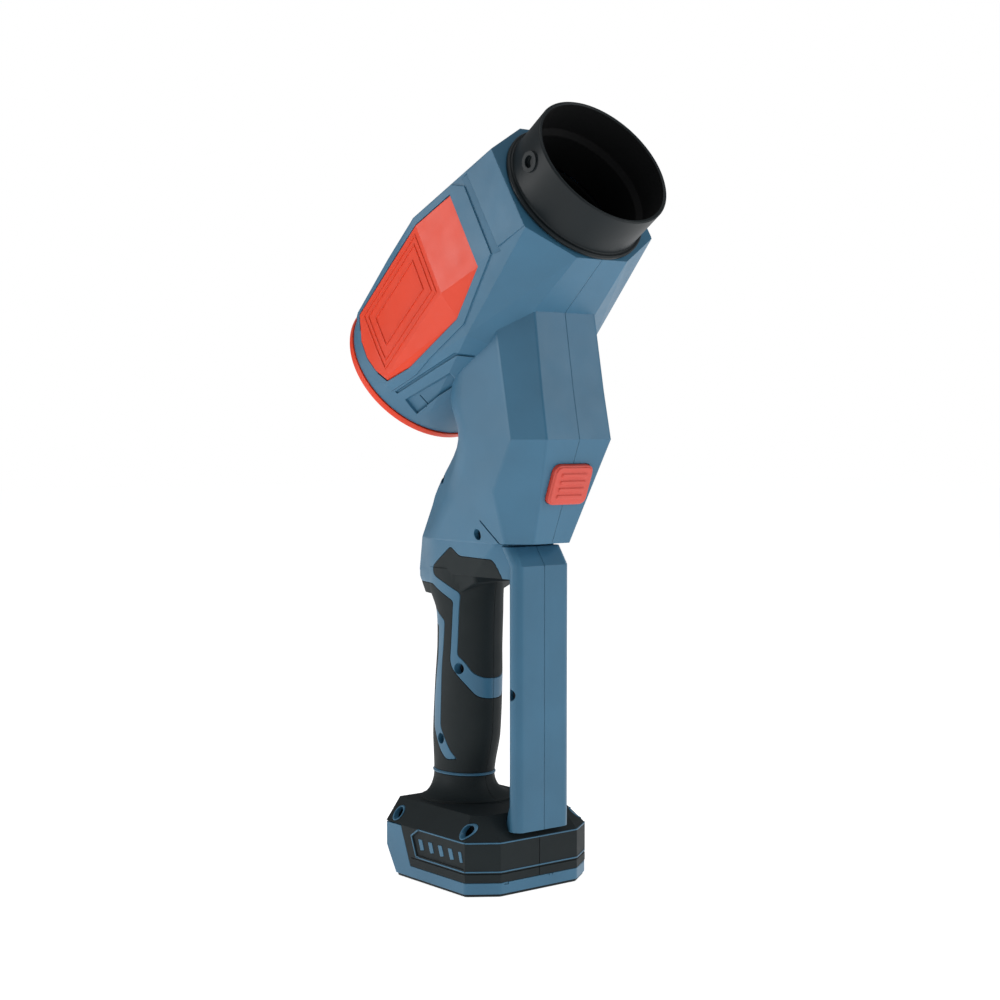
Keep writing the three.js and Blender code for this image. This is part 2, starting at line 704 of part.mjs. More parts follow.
// Side panel outline in the duct frame, seen from the side: [along, up].
const panelArea = [
  [HEAD_MIDDLE + 30, 25],
  [HEAD_MIDDLE + 29, -20],
  [HEAD_MIDDLE, -32],
  [HEAD_MIDDLE - 50, -28],
  [HEAD_HAUNCH + 1, -22],
  [HEAD_HAUNCH + 1, 21.5],
  [HEAD_MIDDLE + 1, 28],
];
const PANEL_PROUD = 1;
const PANEL_DEPTH = 1.4;

function panelSolid(clearance, outside = 0) {
  const prisms = [1, -1].map((side) => {
    const outline = offsetOutline(panelArea, clearance);
    const y0 = side > 0 ? HEAD_WIDTH / 4 : -FAR / 4;
    const y1 = side > 0 ? FAR / 4 : -HEAD_WIDTH / 4;
    return inDuct(sidePrism(outline, y0, y1));
  });
  return join(...prisms)
    .intersect(headHull(PANEL_PROUD + outside))
    .subtract(headHull(-PANEL_DEPTH - clearance + GAP));
}

// ================================================================ duct pieces, in the duct frame
const ductRear = HEAD_REAR + 3;
const ductFront = HEAD_FRONT - SPIGOT_LENGTH - 1;

// Room kept free of screw posts: the duct and its bell mouth.
const ductRoom = () =>
  turned([
    [0, ductFront + 1],
    [FAN_RADIUS + DUCT_WALL + 0.5, ductFront + 1],
    [FAN_RADIUS + DUCT_WALL + 0.5, ductRear + BELL_LENGTH],
    [INLET_RADIUS - INLET_RING_WALL, ductRear - 2],
    [0, ductRear - 2],
  ]);

function ductGeometry() {
  const mouth = INLET_RADIUS - INLET_RING_WALL - 0.8;
  const curve = new THREE.CubicBezierCurve(
    new THREE.Vector2(mouth, ductRear),
    new THREE.Vector2(mouth - 5, ductRear + 5),
    new THREE.Vector2(FAN_RADIUS + DUCT_WALL, ductRear + 9),
    new THREE.Vector2(FAN_RADIUS + DUCT_WALL, ductRear + BELL_LENGTH)
  );
  const flare = curve.getPoints(5).map((point) => [point.x, point.y]);
  const outer = [...flare, [FAN_RADIUS + DUCT_WALL, ductFront]];
  const inner = outer.map(([radius, x]) => [radius - DUCT_WALL, x]).reverse();
  return turned([...outer, ...inner]);
}

function collarGeometry() {
  const spigotRadius = COLLAR_RADIUS - COLLAR_WALL - 0.3;
  const inner = spigotRadius - COLLAR_WALL;
  const flangeRear = HEAD_FRONT + GAP;
  return turned(
    [
      [inner, HEAD_FRONT - SPIGOT_LENGTH],
      [inner, HEAD_FRONT + 6],
      [COLLAR_RADIUS - COLLAR_WALL, HEAD_FRONT + 9],
      [COLLAR_RADIUS - COLLAR_WALL, flangeRear + FLANGE_THICKNESS + COLLAR_LENGTH],
      [COLLAR_RADIUS, flangeRear + FLANGE_THICKNESS + COLLAR_LENGTH],
      [COLLAR_RADIUS, flangeRear + FLANGE_THICKNESS],
      [FLANGE_RADIUS, flangeRear + FLANGE_THICKNESS],
      [FLANGE_RADIUS, flangeRear],
      [spigotRadius, flangeRear],
      [spigotRadius, HEAD_FRONT - SPIGOT_LENGTH],
    ],
    40
  );
}

// The collar carries a bayonet boss with a blind hole on each side.
function collarSolid() {
  const x = HEAD_FRONT + FLANGE_THICKNESS + COLLAR_LENGTH / 2 - 2;
  const top = COLLAR_RADIUS + BOSS_PROUD;
  const root = COLLAR_RADIUS - 1.5;
  const floor = COLLAR_RADIUS - 1.1;
  const bosses = [];
  const holes = [];
  for (const side of [-1, 1]) {
    const [near, far] = side > 0 ? [root, top] : [-top, -root];
    bosses.push(inDuct(crossPin(x, BOSS_RISE, 5, near, far, 18)));
    const [start, end] = side > 0 ? [floor, top + 1] : [-top - 1, -floor];
    holes.push(inDuct(crossPin(x, BOSS_RISE, 3, start, end)));
  }
  return join(inDuct(collarGeometry()), ...bosses).subtract(join(...holes));
}

const inletRingGeometry = () =>
  turned(
    [
      [INLET_RADIUS - INLET_RING_WALL, HEAD_REAR - INLET_RING_LENGTH],
      [INLET_RADIUS - 1.5, HEAD_REAR - INLET_RING_LENGTH],
      [INLET_RADIUS, HEAD_REAR - INLET_RING_LENGTH + 1.5],
      [INLET_RADIUS, HEAD_REAR - GAP],
      [INLET_RADIUS - INLET_RING_WALL, HEAD_REAR - GAP],
    ],
    40
  );

// Rear guard: rings and spokes inside the orange ring.
function grilleSolid() {
  const face = HEAD_REAR - INLET_RING_LENGTH + 1;
  const rim = INLET_RADIUS - INLET_RING_WALL - GAP;
  const thickness = 2.4;
  const band = (inner, outer) =>
    inDuct(
      turned(
        [[inner, face], [outer, face], [outer, face + thickness], [inner, face + thickness]],
        20
      )
    );
  const pieces = [band(rim - 2.4, rim)];
  for (let radius = rim - 9; radius > 10; radius -= 14) pieces.push(band(radius, radius + 1.6));
  const spokes = 6;
  for (let i = 0; i < spokes; i++) {
    const spoke = box(face + 0.4, face + thickness - 0.4, -0.9, 0.9, 3, rim - 1);
    spoke.rotateX((2 * Math.PI * i) / spokes);
    pieces.push(inDuct(spoke));
  }
  const hub = turned([[0, face], [6, face], [6, face + thickness], [0, face + thickness]], 24);
  pieces.push(inDuct(hub));
  return join(...pieces);
}

const motorRear = -8;
const motorFront = motorRear + MOTOR_LENGTH;
const canWall = 2.4;

function motorCanGeometry() {
  const bore = SHAFT_RADIUS + 1.2;
  const seat = 7 + GAP;
  return turned([
    [bore, motorRear],
    [MOTOR_RADIUS, motorRear],
    [MOTOR_RADIUS, motorFront],
    [seat, motorFront],
    [seat, motorFront - 5],
    [MOTOR_RADIUS - canWall, motorFront - 5],
    [MOTOR_RADIUS - canWall, motorRear + 8],
    [seat, motorRear + 8],
    [seat, motorRear + 3],
    [bore, motorRear + 3],
  ]);
}

const coilsGeometry = () =>
  turned([
    [10.6, motorRear + 10],
    [MOTOR_RADIUS - canWall - GAP, motorRear + 10],
    [MOTOR_RADIUS - canWall - GAP, motorFront - 7],
    [10.6, motorFront - 7],
  ]);

const rotorGeometry = () =>
  turned(
    [
      [0, motorRear - SHAFT_REACH],
      [SHAFT_RADIUS, motorRear - SHAFT_REACH],
      [SHAFT_RADIUS, motorRear + 12],
      [10, motorRear + 12],
      [10, motorFront - 9],
      [SHAFT_RADIUS, motorFront - 9],
      [SHAFT_RADIUS, motorFront + 1],
      [0, motorFront + 1],
    ],
    20
  );

const bearingGeometry = (x) =>
  turned(
    [
      [SHAFT_RADIUS + GAP, x],
      [7, x],
      [7, x + 4.4],
      [SHAFT_RADIUS + GAP, x + 4.4],
    ]
  );

function statorSolid() {
  const sleeveInner = MOTOR_RADIUS + GAP;
  const sleeveOuter = sleeveInner + 1.8;
  const outer = FAN_RADIUS - GAP;
  const ring = (r0, r1, x0, x1) => inDuct(turned([[r0, x0], [r1, x0], [r1, x1], [r0, x1]], 32));
  const pieces = [
    ring(sleeveInner, sleeveOuter, motorRear + 1, motorFront),
    ring(outer - 1.4, outer, motorRear + 1, motorFront - 8),
  ];
  for (let i = 0; i < VANES; i++) {
    const vane = box(motorRear + 2, motorFront - 10, -0.9, 0.9, sleeveOuter - 0.6, outer - 0.6);
    vane.rotateX((2 * Math.PI * i) / VANES);
    pieces.push(inDuct(vane));
  }
  return join(...pieces);
}

function impellerSolid() {
  const rear = motorRear - 22;
  const front = motorRear - 2.5;
  const hubRadius = MOTOR_RADIUS + 1;
  const hub = turned(
    [
      [SHAFT_RADIUS + GAP, rear],
      [7, rear],
      [12, rear + 2.5],
      [16, rear + 7],
      [hubRadius, rear + 12],
      [hubRadius, front],
      [SHAFT_RADIUS + GAP, front],
    ],
    24
  );
  const tip = FAN_RADIUS - RUNNING;
  const limit = turned([[1, rear + 2], [tip, rear + 2], [tip, front], [1, front]], 30);
  const blades = [];
  for (let i = 0; i < BLADES; i++) {
    const blade = box(-15, 15, -0.9, 0.9, hubRadius - 5, tip + 3);
    blade.rotateZ(THREE.MathUtils.degToRad(48));
    blade.translate((rear + front) / 2 + 1, 0, 0);
    blade.rotateX((2 * Math.PI * i) / BLADES);
    blades.push(inDuct(blade));
  }
  const boreRadius = SHAFT_RADIUS + GAP;
  const bore = turned(
    [[0, rear - 1], [boreRadius, rear - 1], [boreRadius, front + 1], [0, front + 1]],
    12
  );
  return mainBody(join(...blades).intersect(inDuct(limit)).add(inDuct(hub)).subtract(inDuct(bore)));
}

function nutSolid() {
  const shaftEnd = motorRear - SHAFT_REACH;
  const x = shaftEnd - 4;
  const radius = SHAFT_RADIUS + GAP;
  const cap = turned([[0, x], [2.5, x], [5, x + 2.5], [5, x + 5.6], [0, x + 5.6]], 6);
  const bore = turned(
    [[0, shaftEnd - GAP], [radius, shaftEnd - GAP], [radius, x + 9], [0, x + 9]],
    20
  );
  return inDuct(cap).subtract(inDuct(bore));
}

const tailConeGeometry = () =>
  turned([
    [MOTOR_RADIUS - 3, motorFront + GAP + 1],
    [MOTOR_RADIUS + 1.6, motorFront + GAP],
    [MOTOR_RADIUS, motorFront + 8],
    [MOTOR_RADIUS - 6, motorFront + 18],
    [2, motorFront + 25],
    [0, motorFront + 25],
    [0, motorFront + 22],
    [MOTOR_RADIUS - 8, motorFront + 15],
  ]);

// ================================================================ power button and electrics
function buttonSolid() {
  const skirt = BUTTON_PROUD - 0.8;
  const body = facePlate(BUTTON_WIDTH, BUTTON_HEIGHT, BUTTON_CORNER, lipRear + 1, skirt);
  const face = facePlate(
    BUTTON_WIDTH - 2,
    BUTTON_HEIGHT - 2,
    BUTTON_CORNER - 1,
    BUTTON_PROUD - 1,
    BUTTON_PROUD
  );
  const lip = facePlate(
    BUTTON_WIDTH - 2 * BUTTON_CORNER,
    BUTTON_HEIGHT + 2 * BUTTON_LIP,
    1,
    lipRear,
    -faceWall - GAP
  );
  const ribs = [];
  const pitch = (BUTTON_HEIGHT - 6) / BUTTON_RIBS;
  for (let i = 0; i < BUTTON_RIBS; i++) {
    const z = (i - (BUTTON_RIBS - 1) / 2) * pitch;
    const half = BUTTON_WIDTH / 2 - 5;
    ribs.push(atButton(box(BUTTON_PROUD - 0.5, BUTTON_PROUD + 0.8, -half, half, z - 1, z + 1)));
  }
  const stem = new THREE.CylinderGeometry(2.5, 2.5, 6, 16);
  stem.rotateZ(Math.PI / 2);
  stem.translate(lipRear - 2, 0, 0);
  return join(atButton(body), atButton(face), atButton(lip), atButton(stem), ...ribs);
}

const switchDepth = -lipRear + 5 + BUTTON_TRAVEL + GAP;
const SWITCH_LENGTH = 13;
const SWITCH_FOOT = 13; // half height of the switch's foot

function switchSolid() {
  const rear = -switchDepth - SWITCH_LENGTH;
  const block = box(rear, -switchDepth, -9, 9, -9, 9);
  const feet = box(rear, rear + 2, -9, 9, -SWITCH_FOOT, SWITCH_FOOT);
  return join(atButton(block), atButton(feet));
}

// The return spring, drawn at its pressed length so that the button's travel stays clear of it.
function springSolid() {
  const radius = 5;
  const rear = -switchDepth + GAP;
  const front = lipRear - BUTTON_TRAVEL - GAP;
  const turns = 3;
  const steps = 12 * turns;
  const wire = 0.55;
  const points = [];
  for (let i = 0; i <= steps; i++) {
    const angle = (2 * Math.PI * turns * i) / steps;
    const along = rear + wire + ((front - rear - 2 * wire) * i) / steps;
    points.push(new THREE.Vector3(along, radius * Math.cos(angle), radius * Math.sin(angle)));
  }
  const section = new THREE.Shape();
  section.absarc(0, 0, wire, 0, 2 * Math.PI, false);
  const settings = {
    steps,
    curveSegments: 3,
    bevelEnabled: false,
    extrudePath: new THREE.CatmullRomCurve3(points),
  };
  return atButton(new THREE.ExtrudeGeometry(section, settings));
}

const BOARD_X = CHIN_FACE - 52;
const BOARD_Z = CREASE + 6;
const BOARD_LENGTH = 40;
const BOARD_WIDTH = 32;

function boardSolid() {
  const x = BOARD_X;
  const z = BOARD_Z;
  const end = BOARD_LENGTH / 2;
  const side = BOARD_WIDTH / 2;
  const board = box(x - end, x + end, -side, side, z - PLATE / 2, z + PLATE / 2);
  const parts = [
    box(x - 16, x - 4, -10, 2, z, z + 8),
    box(x + 2, x + 12, -6, 6, z, z + 5),
    box(x - 16, x + 10, 6, 13, z, z + 4),
  ];
  return join(solid(board), ...parts.map(solid));
}

// Ledges in the shells that carry the board, and the rib behind the switch.
function mountRibs() {
  const rear = BOARD_X - BOARD_LENGTH / 2;
  const front = BOARD_X + BOARD_LENGTH / 2;
  const top = BOARD_Z - PLATE / 2 - GAP;
  const inner = BOARD_WIDTH / 2 - 2;
  const ribFace = -switchDepth - SWITCH_LENGTH - GAP;
  return join(
    solid(box(rear, front, inner, CHIN_WIDTH, top - 3, top)),
    solid(box(rear, front, -CHIN_WIDTH, -inner, top - 3, top)),
    atButton(box(ribFace - 3, ribFace, -CHIN_WIDTH, CHIN_WIDTH, -SWITCH_FOOT, SWITCH_FOOT))
  );
}

// ================================================================ battery pack
const coreTop = BAND_TOP - SLIDING;
const packFloor = PAD_HEIGHT + GAP + PACK_WALL;
const cellHeight = packFloor + CELL_RADIUS + GAP;
const lidThickness = 1.6;
const lidRear = blockFoot - BLOCK_LEAN + 2;

function packTraySolid() {
  const floorBottom = PAD_HEIGHT + GAP;
  const slab = footBlock(0, floorBottom, STRIP_TOP);
  const block = footBlock(0, STRIP_TOP - 1, BAND_TOP - GAP).intersect(
    solid(sidePrism(offsetOutline(blockOutline, 1), -FAR / 4, FAR / 4)).subtract(
      solid(box(-FAR, FAR, -FAR, FAR, BAND_TOP - GAP, FAR))
    )
  );
  const blockTrim = solid(
    sidePrism(
      [
        [blockFoot, STRIP_TOP],
        [blockFoot - BLOCK_LEAN, BAND_TOP],
        [FAR, BAND_TOP],
        [FAR, STRIP_TOP],
      ],
      -FAR / 4,
      FAR / 4
    )
  );
  const coreWalls = footBlock(-CORE_INSET, STRIP_TOP - 1, coreTop - lidThickness - GAP);
  const hollow = footBlock(-CORE_INSET - PACK_WALL, packFloor, BAND_TOP - GAP - PACK_WALL);
  const mouth = footBlock(-CORE_INSET - PACK_WALL, packFloor, FAR / 4);
  const slope = solid(sidePrism(rearSlope, -FAR / 4, FAR / 4));
  const slopeWall = solid(sidePrism(offsetOutline(rearSlope, PACK_WALL), -FAR / 4, FAR / 4));
  const room = hollow
    .add(mouth.intersect(solid(box(lidRear, FAR, -FAR, FAR, -FAR, FAR))))
    .subtract(slopeWall);
  return join(slab, block.subtract(blockTrim), coreWalls)
    .subtract(room)
    .subtract(slope)
    .subtract(latchRoom());
}

// Release button and its opening in the pack's back; a flange inside keeps the button in.
const latchZ = (REAR_SLOPE_TOP + BAND_TOP) / 2;
const latchSeat = FOOT_REAR + PACK_WALL + 1;
const latchEnd = latchSeat + 2;
const LATCH_FLANGE = 2;

const latchBlock = (x0, x1, grow, reach) =>
  solid(
    box(
      x0,
      x1,
      -LATCH_WIDTH / 2 - reach - grow,
      LATCH_WIDTH / 2 + reach + grow,
      latchZ - LATCH_HEIGHT / 2 - grow,
      latchZ + LATCH_HEIGHT / 2 + grow
    )
  );

const latchRoom = () => {
  const wellEnd = FOOT_REAR + CORE_INSET + PACK_WALL + 2;
  const well = latchBlock(latchSeat - GAP, wellEnd, GAP, LATCH_FLANGE);
  return latchBlock(FOOT_REAR - 5, wellEnd, GAP, 0).add(well);
};

function latchSolid() {
  const half = LATCH_WIDTH / 2 - 4;
  const flange = latchBlock(latchSeat, latchEnd, 0, LATCH_FLANGE);
  const ribs = [-1.5, 1.5].map((dz) =>
    solid(box(FOOT_REAR - 1.2, FOOT_REAR, -half, half, latchZ + dz - 0.5, latchZ + dz + 0.5))
  );
  return join(latchBlock(FOOT_REAR - 0.6, latchEnd, 0, 0), flange, ...ribs);
}

const packLidSolid = () =>
  footBlock(-CORE_INSET, coreTop - lidThickness, coreTop).intersect(
    solid(box(lidRear + GAP, FAR, -FAR, FAR, -FAR, FAR))
  );

const basePadSolid = () =>
  footBlock(-1.2, 0, PAD_HEIGHT).subtract(solid(sidePrism(rearSlope, -FAR / 4, FAR / 4)));

function cellSolid(index) {
  const x = FIRST_CELL - index * CELL_PITCH;
  const can = crossPin(x, cellHeight, CELL_RADIUS, -CELL_LENGTH / 2, CELL_LENGTH / 2 - 1, 24);
  const button = crossPin(x, cellHeight, 3.2, CELL_LENGTH / 2 - 1.5, CELL_LENGTH / 2, 16);
  return join(solid(can), solid(button));
}

// Contacts in the shoe's ceiling, reached through the pack's lid when it is home.
const terminalFloor = BAND_TOP + 2 * GAP;
const TERMINAL_HEIGHT = 4.4;
function terminalSolid() {
  const x = GRIP_X + 9;
  const z = terminalFloor;
  const base = box(x - 10, x + 10, -14, 14, z, z + TERMINAL_HEIGHT);
  const pins = [-9, -3, 3, 9].map((y) =>
    solid(box(x - 6, x + 6, y - 1, y + 1, z + 4, z + TERMINAL_HEIGHT + 2))
  );
  return join(solid(base), ...pins);
}

// Recess for the contacts, and the way for their wires up into the grip.
function terminalRoom() {
  const x = GRIP_X + 9;
  const top = terminalFloor + TERMINAL_HEIGHT + 2 + GAP;
  const recess = box(x - 10 - GAP, x + 10 + GAP, -14 - GAP, 14 + GAP, BAND_TOP, top);
  const passage = box(GRIP_X - 8, GRIP_X + 2, -5, 5, BAND_TOP, FOOT_TOP + 8);
  return join(solid(recess), solid(passage));
}

// ================================================================ assembly
const blower = new THREE.Group();

function place(name, piece, look) {
  const mesh = new THREE.Mesh(geometryOf(piece), look);
  mesh.name = name;
  blower.add(mesh);
}

const housing = housingSolid();
place("housing_left", halfOf(housing, true), bluePlastic);
place("housing_right", halfOf(housing, false), bluePlastic);

const paired = [
  ["finger_pad", fingerPad(), blackRubber],
  ["grip_sleeve", sleevePad(), blackRubber],
  ["foot_bumper", bumperSolid(), blackRubber],
  ["side_panel", panelSolid(0), orangePlastic],
];
for (const [name, piece, look] of paired) {
  const drilled = piece.subtract(join(...screwHoles()));
  place(`${name}_left`, halfOf(drilled, true), look);
  place(`${name}_right`, halfOf(drilled, false), look);
}

place("outlet_collar", collarSolid(), satinBlack);
place("inlet_ring", inDuct(inletRingGeometry()), orangePlastic);
place("inlet_grille", grilleSolid(), darkPlastic);
place("fan_duct", inDuct(ductGeometry()), darkPlastic);
place("stator_vanes", statorSolid(), darkPlastic);
place("motor_can", inDuct(motorCanGeometry()), aluminium);
place("motor_coils", inDuct(coilsGeometry()), copper);
place("rotor_shaft", inDuct(rotorGeometry()), steel);
place("bearing_rear", inDuct(bearingGeometry(motorRear + 3 + GAP)), steel);
place("bearing_front", inDuct(bearingGeometry(motorFront - 4.7)), steel);
place("impeller", impellerSolid(), aluminium);
place("impeller_nut", nutSolid(), steel);
place("tail_cone", inDuct(tailConeGeometry()), darkPlastic);

place("power_button", buttonSolid(), buttonPlastic);
place("button_spring", springSolid(), steel);
place("switch_body", switchSolid(), darkPlastic);
place("control_board", boardSolid(), boardGreen);

place("pack_tray", packTraySolid(), bluePlastic);
place("pack_lid", packLidSolid(), darkPlastic);
place("base_pad", basePadSolid(), blackRubber);
for (let i = 0; i < CELLS; i++) place(`cell_${i + 1}`, cellSolid(i), cellWrap);
place("terminal_block", terminalSolid(), brass);
place("release_button", latchSolid(), darkPlastic);

for (const screw of screwPlaces) place(screw.name, screwSolid(screw), steel);

export default blower;
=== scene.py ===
"""Cordless turbo blower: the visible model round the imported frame.

Lengths are millimetres until a piece is finished, then metres. +X is forward, +Y the tool's left.
Head pieces are laid out in the duct's frame: s along the duct, t upwards across it.
"""
import math

import bmesh
import bpy
from mathutils import Matrix, Vector
from mathutils.bvhtree import BVHTree


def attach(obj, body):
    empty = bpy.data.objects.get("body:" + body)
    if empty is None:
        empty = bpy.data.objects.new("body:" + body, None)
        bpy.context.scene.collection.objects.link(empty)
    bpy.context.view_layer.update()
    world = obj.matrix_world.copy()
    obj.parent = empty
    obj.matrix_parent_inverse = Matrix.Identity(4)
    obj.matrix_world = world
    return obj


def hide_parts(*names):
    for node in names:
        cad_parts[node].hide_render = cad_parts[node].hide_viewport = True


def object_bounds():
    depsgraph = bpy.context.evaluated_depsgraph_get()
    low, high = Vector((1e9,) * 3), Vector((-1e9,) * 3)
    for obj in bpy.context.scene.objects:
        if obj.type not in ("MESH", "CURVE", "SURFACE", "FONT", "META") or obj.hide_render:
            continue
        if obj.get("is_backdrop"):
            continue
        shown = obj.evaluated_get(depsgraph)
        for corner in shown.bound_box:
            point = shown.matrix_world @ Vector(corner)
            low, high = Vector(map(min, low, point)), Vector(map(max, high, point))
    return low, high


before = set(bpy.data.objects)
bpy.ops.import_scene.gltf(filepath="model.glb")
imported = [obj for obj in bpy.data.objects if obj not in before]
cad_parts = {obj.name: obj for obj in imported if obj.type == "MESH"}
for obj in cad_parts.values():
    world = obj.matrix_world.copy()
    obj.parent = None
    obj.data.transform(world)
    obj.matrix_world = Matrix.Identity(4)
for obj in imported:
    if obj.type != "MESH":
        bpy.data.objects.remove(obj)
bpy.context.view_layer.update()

MM = 0.001

# ---------------------------------------------------------------- sizes, as in the CAD
FOOT_WIDTH = 84
FOOT_FRONT = 36
FOOT_REAR = -49
PAD_HEIGHT = 1.2
STRIP_TOP = 7.4
BAND_TOP = 28.6
FOOT_TOP = 41
GAP = 0.3
RUBBER = 2.2
SHOE_WALL = 2.2
CORE_INSET = 5.2
PACK_WALL = 1.8
GRIP_X = -25
STRUT_FRONT = 40
ROOF = 167
CHIN_BOTTOM = 186
CREASE = 241
CHIN_TOP = 304
CHIN_FACE = 68
DUCT_HEIGHT = 326
DUCT_TILT = math.radians(32.8)
HEAD_FRONT = 75
HEAD_MIDDLE = 8
HEAD_HAUNCH = -64
HEAD_REAR = -78
FLANGE_RADIUS = 41.5
COLLAR_RADIUS = 39.1
COLLAR_LENGTH = 25
FLANGE_THICKNESS = 2.5
SPIGOT_LENGTH = 15
INLET_RADIUS = 47.7
FAN_RADIUS = 33
SEAM = 0.24
SLEEVE_BOTTOM = 56.1
FLARE_TOP = SLEEVE_BOTTOM - 2.0
HOUSING_WALL = 2.6
FRAME_RISE = 0.75  # frame round the side panel, above the head's side
PANEL_SEAT = 1.6  # how deep the panel's pocket goes
CHIN_RISE = CREASE - CHIN_BOTTOM
RUBBER_GAP = 0.35  # all round each let-in rubber piece
SOFT_CORNER = 2.2  # corners of the rubber areas
FOOT_CORNER = 1.5
PIPING_DEPTH = 0.6
PIPING_PROUD = 0.28
SCREW_RADIUS = 2.7
WELL_GAP = 0.35
RIM_RADIUS = 3.8  # blue rims round the foot's screws
BUTTON_WIDTH = 26
BUTTON_HEIGHT = 22
BUTTON_CORNER = 4.5
LATCH_Z = 24.3
LATCH_WIDTH = 26.6
BOSS_S = 91.8  # bayonet bosses, along and across the duct
BOSS_T = 4
FAR = 400  # past the whole object
WORN_EDGE = 0.5  # width of the paler wear along edges

# ---------------------------------------------------------------- colours, 0 to 255
BLUE = (56, 104, 132)
ORANGE = (222, 57, 16)
BUTTON = (205, 72, 58)
RUBBER_BLACK = (24, 32, 34)
SATIN_BLACK = (18, 25, 28)
DARK = (20, 22, 24)


def linear(colour):
    """Linear RGBA of an 8-bit sRGB colour."""
    channels = []
    for value in colour:
        c = value / 255
        channels.append(c / 12.92 if c <= 0.04045 else ((c + 0.055) / 1.055) ** 2.4)
    return (*channels, 1.0)


# ================================================================ materials
def moulded(name, colour, rough, grain=1600.0, depth=0.02, vary=0.08, wear=0.25, metallic=0.0,
            specular=0.5):
    """Moulded surface: spark-eroded grain, cloudy colour, slightly lighter worn edges."""
    material = bpy.data.materials.new(f"look_{name}")
    material.use_nodes = True
    nodes = material.node_tree.nodes
    links = material.node_tree.links
    shader = nodes["Principled BSDF"]
    shader.inputs["Metallic"].default_value = metallic
    shader.inputs["Specular IOR Level"].default_value = specular
    place = nodes.new("ShaderNodeTexCoord")

    cloud = nodes.new("ShaderNodeTexNoise")
    cloud.inputs["Scale"].default_value = 28.0
    cloud.inputs["Detail"].default_value = 4.0
    links.new(place.outputs["Object"], cloud.inputs["Vector"])
    tint = nodes.new("ShaderNodeValToRGB")
    base = linear(colour)
    tint.color_ramp.elements[0].position = 0.3
    tint.color_ramp.elements[1].position = 0.7
    tint.color_ramp.elements[0].color = (*[c * (1 - vary) for c in base[:3]], 1)
    tint.color_ramp.elements[1].color = (*[min(1, c * (1 + vary)) for c in base[:3]], 1)
    links.new(cloud.outputs["Fac"], tint.inputs["Fac"])

    bevel = nodes.new("ShaderNodeBevel")
    bevel.samples = 4
    bevel.inputs["Radius"].default_value = WORN_EDGE * MM
    shape = nodes.new("ShaderNodeNewGeometry")
    turn = nodes.new("ShaderNodeVectorMath")
    turn.operation = "DOT_PRODUCT"
    links.new(bevel.outputs["Normal"], turn.inputs[0])
    links.new(shape.outputs["Normal"], turn.inputs[1])
    edge = nodes.new("ShaderNodeMapRange")
    edge.inputs["From Min"].default_value = 0.99
    edge.inputs["From Max"].default_value = 0.8
    edge.inputs["To Min"].default_value = 0.0
    edge.inputs["To Max"].default_value = wear
    links.new(turn.outputs["Value"], edge.inputs["Value"])
    worn = nodes.new("ShaderNodeMix")
    worn.data_type = "RGBA"
    worn.inputs["B"].default_value = (*[min(1, c * 1.5 + 0.05) for c in base[:3]], 1)
    links.new(edge.outputs["Result"], worn.inputs["Factor"])
    links.new(tint.outputs["Color"], worn.inputs["A"])
    links.new(worn.outputs["Result"], shader.inputs["Base Color"])

    smudge = nodes.new("ShaderNodeTexNoise")
    smudge.inputs["Scale"].default_value = 90.0
    smudge.inputs["Detail"].default_value = 3.0
    links.new(place.outputs["Object"], smudge.inputs["Vector"])
    spread = nodes.new("ShaderNodeMapRange")
    spread.inputs["To Min"].default_value = max(0.05, rough - 0.06)
    spread.inputs["To Max"].default_value = min(1.0, rough + 0.08)
    links.new(smudge.outputs["Fac"], spread.inputs["Value"])
    links.new(spread.outputs["Result"], shader.inputs["Roughness"])

    fine = nodes.new("ShaderNodeTexNoise")
    fine.inputs["Scale"].default_value = grain
    fine.inputs["Detail"].default_value = 2.0
    links.new(place.outputs["Object"], fine.inputs["Vector"])
    bump = nodes.new("ShaderNodeBump")
    bump.inputs["Strength"].default_value = 0.35
    bump.inputs["Distance"].default_value = depth * MM
    links.new(fine.outputs["Fac"], bump.inputs["Height"])
    links.new(bevel.outputs["Normal"], bump.inputs["Normal"])
    links.new(bump.outputs["Normal"], shader.inputs["Normal"])
    return material


blue = moulded("blue_plastic", BLUE, 0.42, specular=0.38)
orange = moulded("orange_plastic", ORANGE, 0.33, grain=2200.0, depth=0.012, vary=0.04, wear=0.3,
                 specular=0.3)
button_red = moulded("button_plastic", BUTTON, 0.46, vary=0.05, wear=0.3)
rubber = moulded("black_rubber", RUBBER_BLACK, 0.62, grain=2600.0, depth=0.03, vary=0.12, wear=0.12,
                 specular=0.22)
satin = moulded("satin_black", SATIN_BLACK, 0.42, grain=2400.0, depth=0.012, vary=0.1, wear=0.25,
               specular=0.22)
dark = moulded("dark_plastic", DARK, 0.6, vary=0.15, wear=0.1)
# Near-black for the parts inside the duct; on the collar's bore the same near-black is painted
# shade.
inner_black_and_painted_shade = moulded("inner_black_and_painted_shade", (9, 10, 11), 0.75, vary=0.15, wear=0.0, specular=0.2)
screw_steel = moulded("black_oxide_steel", (46, 48, 52), 0.42, depth=0.01, vary=0.1, wear=0.1,
                      metallic=1.0)
steel = moulded("zinc_steel", (176, 180, 184), 0.32, depth=0.01, vary=0.05, wear=0.1, metallic=1.0)
aluminium = moulded("aluminium", (198, 202, 206), 0.36, depth=0.01, vary=0.05, wear=0.1,
                    metallic=1.0)
copper = moulded("copper_winding", (184, 105, 58), 0.4, grain=900.0, depth=0.08, metallic=1.0)
board_green = moulded("circuit_board", (31, 91, 58), 0.5)
wrap = moulded("cell_wrap", (40, 96, 150), 0.3, depth=0.006)
brass = moulded("brass_contacts", (201, 161, 74), 0.35, depth=0.01, metallic=1.0)


